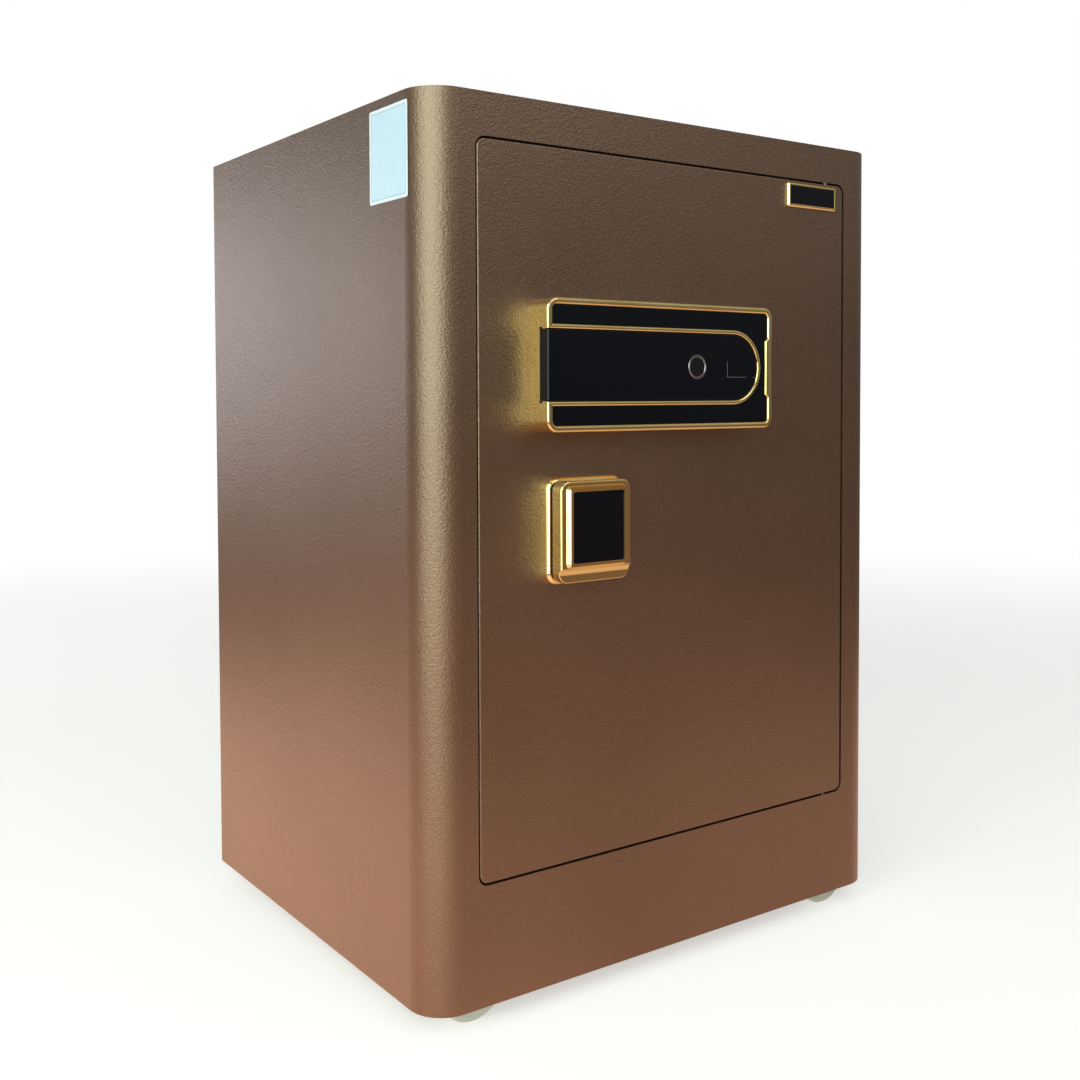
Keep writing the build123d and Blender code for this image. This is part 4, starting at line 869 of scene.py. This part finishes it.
def cross_cutter(settings, height):
    """Tapered cross that cuts the recess in a screw head whose crown is at that height."""
    half = settings.slot_width / 2
    low = Vector((-half, -half, height - settings.slot_depth))
    high = Vector((half, half, height + settings.slot_depth))
    cutter = add_block("cross", low, high)
    pick(cutter, "FACE", lambda face: abs(face.normal.z) < ALONG)
    bpy.ops.mesh.extrude_faces_move(TRANSFORM_OT_shrink_fatten={"value": settings.slot_reach})
    pick(cutter, "FACE", lambda face: face.normal.z < -ALONG)
    floor = settings.slot_floor
    bpy.ops.transform.resize(value=(floor, floor, 1), center_override=(0, 0, low.z))
    leave()
    return cutter


def make_screw(radius, height, shank, length, settings):
    """Pan head screw along +Z with its seat at the origin: domed head, cross recess, pointed shank."""
    bpy.ops.object.select_all(action="DESELECT")
    middle = (0, 0, height / 2)
    bpy.ops.mesh.primitive_cylinder_add(vertices=40, radius=radius, depth=height, location=middle)
    screw = bpy.context.object
    settle(screw)
    pick(screw, "EDGE", lambda edge: all(vert.co.z > height - NEAR for vert in edge.verts))
    bpy.ops.mesh.bevel(offset=height * settings.dome, segments=5, profile=0.55)
    pick(screw, "FACE", lambda face: face.normal.z < -ALONG)
    bpy.ops.mesh.inset(thickness=radius - shank)
    bpy.ops.mesh.extrude_region_move(TRANSFORM_OT_translate={"value": (0, 0, -length + shank)})
    bpy.ops.mesh.extrude_region_move(TRANSFORM_OT_translate={"value": (0, 0, -shank)})
    tip = settings.tip
    bpy.ops.transform.resize(value=(tip, tip, 1), center_override=(0, 0, -length))
    leave()
    cutter = cross_cutter(settings, height)
    run_modifier(screw, "BOOLEAN", object=cutter, operation="DIFFERENCE", solver="EXACT")
    bpy.data.objects.remove(cutter)
    smooth(screw, 32)
    return screw


def place_screws(node, name, outward, sizes, settings):
    """One screw in each solid of a node, its head facing outward from its seat."""
    radius, height, shank = sizes
    master = None
    for number, (low, high) in enumerate(solid_boxes(node), start=1):
        direction = outward(low)
        middle = (low + high) / 2
        reach = (high - low) / 2
        crown = middle + Vector([reach[axis] * direction[axis] for axis in range(3)])
        length = 2 * sum(abs(reach[axis] * direction[axis]) for axis in range(3)) - height
        if not master:
            master = make_screw(radius, height, shank, length, settings)
        screw = bpy.data.objects.new(f"{name}_{number}", master.data.copy())
        bpy.context.scene.collection.objects.link(screw)
        # Each screw stops at its own angle, spread by the golden angle.
        turn = Matrix.Rotation(math.radians(137.5) * number, 4, "Z")
        seat = Matrix.Translation(crown - direction * height)
        screw.matrix_world = seat @ direction.to_track_quat("Z", "Y").to_matrix().to_4x4() @ turn
        settle(screw)
        dress(screw, node)
    bpy.data.objects.remove(master)


class SAFE_OT_screws(bpy.types.Operator):
    """Cross recessed screws of the door's inner cover and of the shelf rails"""

    bl_idname = "safe.screws"
    bl_label = "Screws"

    def execute(self, context):
        settings = context.scene.safe_screws
        # The cover's screws face into the safe, and the rails' face its middle.
        place_screws("cover_screws", "cover_screw", lambda low: Vector((0, 1, 0)), COVER_SCREW, settings)
        place_screws(
            "shelf_screws",
            "shelf_screw",
            lambda low: Vector((-1 if low.x > 0 else 1, 0, 0)),
            RAIL_SCREW,
            settings,
        )
        return {"FINISHED"}


class SAFE_OT_label(bpy.types.Operator):
    """Blank film label on the left side: rounded corners, plain border, hairline and empty field"""

    bl_idname = "safe.label"
    bl_label = "Side label"

    def execute(self, context):
        settings = context.scene.safe_label
        colours = context.scene.safe_finishes
        low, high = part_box("side_label")
        label = add_block("side_label_film", low, high)
        label.data.materials.append(finishes["label_paper"])
        label.data.materials.append(label_film("polyester label film, hairline", colours.label_line))
        label.data.materials.append(label_film("polyester label film, field", colours.label))
        pick(label, "FACE", lambda face: face.normal.x < -ALONG)
        bpy.ops.mesh.inset(thickness=settings.border)
        label.active_material_index = 1
        bpy.ops.object.material_slot_assign()
        bpy.ops.mesh.inset(thickness=settings.line)
        label.active_material_index = 2
        bpy.ops.object.material_slot_assign()
        pick(label, "EDGE", lambda edge: abs(edge_line(edge)[1].x) > ALONG)
        bpy.ops.mesh.bevel(offset=settings.corner, segments=6)
        leave()
        dress(label, "side_label")
        return {"FINISHED"}


class SAFE_OT_mat(bpy.types.Operator):
    """Needle felt mat on the floor of the lower compartment, lying a little uneven"""

    bl_idname = "safe.mat"
    bl_label = "Floor mat"

    def execute(self, context):
        settings = context.scene.safe_mat
        low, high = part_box("floor_mat")
        mat = add_block("floor_mat_felt", low, high)
        pick(mat, "EDGE", lambda edge: abs(edge_line(edge)[1].z) > ALONG)
        bpy.ops.mesh.bevel(offset=settings.corner, segments=4)
        pick(mat, "EDGE", lambda edge: edge_line(edge)[0].z > high.z - NEAR)
        bpy.ops.mesh.bevel(offset=settings.nap, segments=2)
        for axis in range(2):
            normal = Vector((1 - axis, axis, 0))
            cuts = round((high[axis] - low[axis]) / settings.cell)
            for cut in range(1, cuts):
                place = low + normal * (high[axis] - low[axis]) * cut / cuts
                bpy.ops.mesh.select_all(action="SELECT")
                bpy.ops.mesh.bisect(plane_co=place, plane_no=normal)
        leave()
        face = mat.vertex_groups.new(name="face")
        upper = [vert.index for vert in mat.data.vertices if vert.co.z > high.z - NEAR]
        face.add(upper, 1.0, "REPLACE")
        clouds = bpy.data.textures.new("unevenness", "CLOUDS")
        clouds.noise_scale = settings.wave
        run_modifier(
            mat,
            "DISPLACE",
            texture=clouds,
            strength=settings.sag,
            mid_level=1.0,
            direction="Z",
            vertex_group="face",
        )
        smooth(mat, 50)
        dress(mat, "floor_mat")
        return {"FINISHED"}


def make_wheel(node, settings):
    """Moulded roller: rounded tread, two dished faces with ribs, and a bored hub."""
    low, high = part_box(node)
    middle = (low + high) / 2
    radius = (high.z - low.z) / 2
    half_width = (high.y - low.y) / 2
    bpy.ops.object.select_all(action="DESELECT")
    bpy.ops.mesh.primitive_cylinder_add(
        vertices=settings.segments,
        radius=radius,
        depth=2 * half_width,
        location=middle,
        rotation=(math.pi / 2, 0, 0),
    )
    wheel = bpy.context.object
    wheel.name = node.replace("wheel", "roller")
    settle(wheel)

    def distance(place):
        return math.hypot(place.x - middle.x, place.z - middle.z)

    def is_cap(face):
        return abs(face.normal.y) > ALONG

    def is_pocket(face):
        place = face.calc_center_median()
        turns = math.atan2(place.z - middle.z, place.x - middle.x) / (2 * math.pi)
        side = round(turns * settings.segments - 0.5)
        in_rib = side % (settings.segments // settings.ribs) < settings.rib_sides
        return is_cap(face) and settings.hub < distance(place) < settings.rim and not in_rib

    pick(wheel, "EDGE", lambda edge: abs(edge_line(edge)[1].y) < ALONG)
    bpy.ops.mesh.bevel(offset=settings.tread_round, segments=5)
    pick(wheel, "FACE", lambda face: is_cap(face) and len(face.verts) > 4)
    bpy.ops.mesh.inset(thickness=radius - settings.tread_round - settings.rim)
    bpy.ops.mesh.inset(thickness=settings.rim - settings.hub)
    bpy.ops.mesh.inset(thickness=settings.hub - settings.bore)
    bpy.ops.mesh.delete(type="ONLY_FACE")
    pick(wheel, "EDGE", lambda edge: distance(edge_line(edge)[0]) < settings.bore + NEAR)
    bpy.ops.mesh.bridge_edge_loops()
    pick(wheel, "FACE", is_pocket)
    bpy.ops.mesh.extrude_region_shrink_fatten(TRANSFORM_OT_shrink_fatten={"value": -settings.dish})
    leave()
    run_modifier(
        wheel,
        "BEVEL",
        width=settings.rib_round,
        segments=2,
        limit_method="ANGLE",
        angle_limit=math.radians(50),
    )
    smooth(wheel)
    dress(wheel, node)
    return wheel


class SAFE_OT_wheels(bpy.types.Operator):
    """The four nylon rollers under the base, one modelled and three copied"""

    bl_idname = "safe.wheels"
    bl_label = "Rollers"

    def execute(self, context):
        first, *others = [node for node in node_slots if node.startswith("wheel_")]
        master = make_wheel(first, context.scene.safe_wheels)
        for node in others:
            wheel = bpy.data.objects.new(node.replace("wheel", "roller"), master.data.copy())
            context.scene.collection.objects.link(wheel)
            wheel.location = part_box(node)[0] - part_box(first)[0]
            settle(wheel)
            dress(wheel, node)
        return {"FINISHED"}


class SAFE_OT_painted_highlight_lines(bpy.types.Operator):
    """Faint grey lines near the round end of the slide cover: painted highlight lines, drawn as a thin
    raised film
    """

    bl_idname = "safe.hairlines"
    bl_label = "Cover hairlines"

    def execute(self, context):
        settings = context.scene.safe_cover
        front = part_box("slide_cover")[0].y
        low = Vector((settings.left, front - settings.proud, settings.level))
        high = low + Vector((settings.width, settings.proud, settings.width))
        lines = add_block("cover_hairlines", low, high)
        upright = (0, 0, settings.height - settings.width)
        along = (settings.length - settings.width, 0, 0)
        pick(lines, "FACE", lambda face: face.normal.z > ALONG)
        bpy.ops.mesh.extrude_region_move(TRANSFORM_OT_translate={"value": upright})
        pick(lines, "FACE", lambda face: face.normal.x > ALONG and face.calc_center_median().z < high.z)
        bpy.ops.mesh.extrude_region_move(TRANSFORM_OT_translate={"value": along})
        bpy.ops.mesh.duplicate_move(TRANSFORM_OT_translate={"value": (settings.gap, 0, 0)})
        bpy.ops.mesh.extrude_region_move(TRANSFORM_OT_translate={"value": (settings.dash, 0, 0)})
        bpy.ops.mesh.select_all(action="SELECT")
        bpy.ops.mesh.normals_make_consistent(inside=False)

        def is_front_edge(edge):
            in_front = edge_line(edge)[0].y < low.y + settings.proud / 4
            return in_front and edge.calc_face_angle(0) > math.radians(45)

        pick(lines, "EDGE", is_front_edge)
        bpy.ops.mesh.bevel(offset=settings.rounding, segments=2)
        leave()
        # The grey film is a painted highlight: bright lines on the black cover drawn as grey ink.
        lines.data.materials.append(label_film("screen ink, grey", settings.ink))
        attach(lines, "cover")
        return {"FINISHED"}


def area_lamp(name, place, target, size, power, code):
    """Soft rectangular lamp."""
    bpy.ops.object.light_add(type="AREA", location=place)
    lamp = bpy.context.object
    lamp.name = name
    lamp.data.shape = "RECTANGLE"
    lamp.data.size, lamp.data.size_y = size
    lamp.data.energy = power
    lamp.data.color = hex_colour(code)[:3]
    lamp.visible_camera = False
    lamp.rotation_euler = (Vector(target) - lamp.location).to_track_quat("-Z", "Y").to_euler()


class SAFE_OT_stage(bpy.types.Operator):
    """Floor, white surroundings, soft lamps and the camera"""

    bl_idname = "safe.stage"
    bl_label = "Stage"

    def execute(self, context):
        stage = context.scene.safe_stage
        make_world(stage)
        make_floor(stage)
        for name, power, place, target, size, code in LAMPS:
            area_lamp(name, place, target, size, getattr(stage, power), code)
        make_camera(stage)
        return {"FINISHED"}


def make_world(stage):
    """White surroundings for what the camera sees, and dim ones for what the gloss sees."""
    world = bpy.data.worlds.new("studio")
    bpy.context.scene.world = world
    world.use_nodes = True
    tree = world.node_tree
    tree.nodes.clear()
    path = add_node(tree, "ShaderNodeLightPath")
    direction = add_node(tree, "ShaderNodeTexCoord", "Generated")
    axes = add_node(tree, "ShaderNodeSeparateXYZ", inputs={"Vector": direction})
    # In the gloss, what lies in front of the safe is a little brighter than what lies behind it.
    level = add_node(tree, "ShaderNodeMapRange", "Result", {
        "Value": axes.outputs["Y"], "From Min": -0.4, "From Max": 0.4, "To Min": 0.16, "To Max": 0.12,
    }, interpolation_type="SMOOTHSTEP")
    # It gets brighter above the horizon, as under a pale ceiling.
    above = add_node(tree, "ShaderNodeMapRange", "Result", {
        "Value": axes.outputs["Z"], "From Min": 0.0, "From Max": 0.4, "To Min": 0.0, "To Max": 0.25,
    })
    sky = add_node(tree, "ShaderNodeMath", "Value", {0: level, 1: above}, operation="ADD")
    seen = add_node(tree, "ShaderNodeBackground", "Background", {"Color": WHITE, "Strength": 1.0})
    glossy = add_node(tree, "ShaderNodeBackground", "Background", {"Color": stage.sky_glow, "Strength": sky})
    light = add_node(tree, "ShaderNodeBackground", "Background", {"Color": WHITE, "Strength": stage.ambient})
    mirrored = add_node(tree, "ShaderNodeMath", "Value", {
        0: path.outputs["Is Glossy Ray"], 1: path.outputs["Is Transmission Ray"],
    }, operation="MAXIMUM")
    unseen = add_node(tree, "ShaderNodeMixShader", "Shader", {0: mirrored, 1: light, 2: glossy})
    both = add_node(tree, "ShaderNodeMixShader", "Shader", {
        0: path.outputs["Is Camera Ray"], 1: unseen, 2: seen,
    })
    add_node(tree, "ShaderNodeOutputWorld", inputs={"Surface": both})


def make_floor(stage):
    """Plain pale floor that keeps the shadow and fades to white; in the gloss it glows warm, a painted
    reflection.
    """
    bpy.ops.object.select_all(action="DESELECT")
    bpy.ops.mesh.primitive_plane_add(size=stage.floor_size, location=(0, 0, 0))
    floor = bpy.context.object
    floor.name = "floor"
    material, tree, place = new_material("floor paint, pale")
    path = add_node(tree, "ShaderNodeLightPath")
    far = add_node(tree, "ShaderNodeVectorMath", "Value", {0: place}, operation="LENGTH")
    # The camera sees the paint with the shadow near the safe, and plain white from 2.6 m on.
    fade = add_node(tree, "ShaderNodeMapRange", "Result", {
        "Value": far, "From Min": 0.8, "From Max": 2.6, "To Min": 0.0, "To Max": 1.0,
    }, interpolation_type="SMOOTHSTEP")
    paint = add_node(tree, "ShaderNodeBsdfDiffuse", "BSDF", {"Color": stage.floor_colour})
    lift = add_node(tree, "ShaderNodeEmission", "Emission", {"Color": WHITE, "Strength": 0.5})
    lit = add_node(tree, "ShaderNodeAddShader", "Shader", {0: paint, 1: lift})
    white = add_node(tree, "ShaderNodeEmission", "Emission", {"Color": WHITE, "Strength": 1.0})
    seen = add_node(tree, "ShaderNodeMixShader", "Shader", {0: fade, 1: lit, 2: white})
    # In the gloss the floor glows warm as painted reflected light, stronger beside the left side and dimmer
    # away from the safe.
    across = add_node(tree, "ShaderNodeSeparateXYZ", "X", {"Vector": place})
    warmth = add_node(tree, "ShaderNodeMapRange", "Result", {
        "Value": across, "From Min": -0.3, "From Max": 0.0, "To Min": 1.38, "To Max": 0.78,
    })
    near = add_node(tree, "ShaderNodeMapRange", "Result", {
        "Value": far, "From Min": 0.7, "From Max": 1.4, "To Min": 1.0, "To Max": 0.26,
    }, interpolation_type="SMOOTHSTEP")
    strength = add_node(tree, "ShaderNodeMath", "Value", {0: warmth, 1: near}, operation="MULTIPLY")
    # Painted reflection: the floor emits this warm glow for glossy rays only.
    warm = add_node(tree, "ShaderNodeEmission", "Emission", {
        "Color": stage.floor_glow, "Strength": strength,
    })
    mirrored = add_node(tree, "ShaderNodeMixShader", "Shader", {
        0: path.outputs["Is Glossy Ray"], 1: paint, 2: warm,
    })
    both = add_node(tree, "ShaderNodeMixShader", "Shader", {
        0: path.outputs["Is Camera Ray"], 1: mirrored, 2: seen,
    })
    add_node(tree, "ShaderNodeOutputMaterial", inputs={"Surface": both})
    floor.data.materials.append(material)


def make_camera(stage):
    """Camera at the photograph's viewing angle."""
    bpy.ops.object.camera_add(location=stage.camera_place)
    camera = bpy.context.object
    camera.name = "camera"
    camera.data.sensor_width = 36
    camera.data.lens = stage.focal_length
    camera.data.shift_y = stage.shift
    camera.data.clip_start = 0.01
    camera.data.clip_end = 100
    turn = Matrix.Rotation(-stage.camera_yaw, 4, "Z")
    tilt = Matrix.Rotation(math.pi / 2 + stage.camera_pitch, 4, "X")
    roll = Matrix.Rotation(stage.camera_roll, 4, "Z")
    camera.rotation_euler = (turn @ tilt @ roll).to_euler()
    bpy.context.scene.camera = camera
    bpy.context.scene.view_settings.view_transform = "Standard"


class SAFE_PT_panel(bpy.types.Panel):
    """Lists the safe's operators"""

    bl_label = "Safe"
    bl_idname = "SAFE_PT_panel"
    bl_space_type = "VIEW_3D"
    bl_region_type = "UI"
    bl_category = "Safe"

    def draw(self, context):
        for operator in OPERATORS:
            self.layout.operator(operator.bl_idname)


GROUPS = {
    "safe_finishes": SAFE_PG_finishes,
    "safe_edges": SAFE_PG_edges,
    "safe_screws": SAFE_PG_screws,
    "safe_label": SAFE_PG_label,
    "safe_mat": SAFE_PG_mat,
    "safe_wheels": SAFE_PG_wheels,
    "safe_cover": SAFE_PG_cover,
    "safe_stage": SAFE_PG_stage,
}
OPERATORS = (
    SAFE_OT_finishes,
    SAFE_OT_soft_edges,
    SAFE_OT_screws,
    SAFE_OT_label,
    SAFE_OT_mat,
    SAFE_OT_wheels,
    SAFE_OT_painted_highlight_lines,
    SAFE_OT_stage,
)


def register():
    """Registers the classes and hangs the property groups on the scene."""
    for name, group in GROUPS.items():
        bpy.utils.register_class(group)
        setattr(bpy.types.Scene, name, bpy.props.PointerProperty(type=group))
    for cls in (*OPERATORS, SAFE_PT_panel):
        bpy.utils.register_class(cls)


def unregister():
    """Undoes register."""
    for cls in (SAFE_PT_panel, *reversed(OPERATORS)):
        bpy.utils.unregister_class(cls)
    for name, group in GROUPS.items():
        delattr(bpy.types.Scene, name)
        bpy.utils.unregister_class(group)


def main():
    """Makes everything in order."""
    register()
    bpy.ops.safe.finishes()
    bpy.ops.safe.soft_edges()
    bpy.ops.safe.screws()
    bpy.ops.safe.label()
    bpy.ops.safe.mat()
    bpy.ops.safe.wheels()
    bpy.ops.safe.hairlines()
    bpy.ops.safe.stage()


if __name__ == "__main__":
    main()
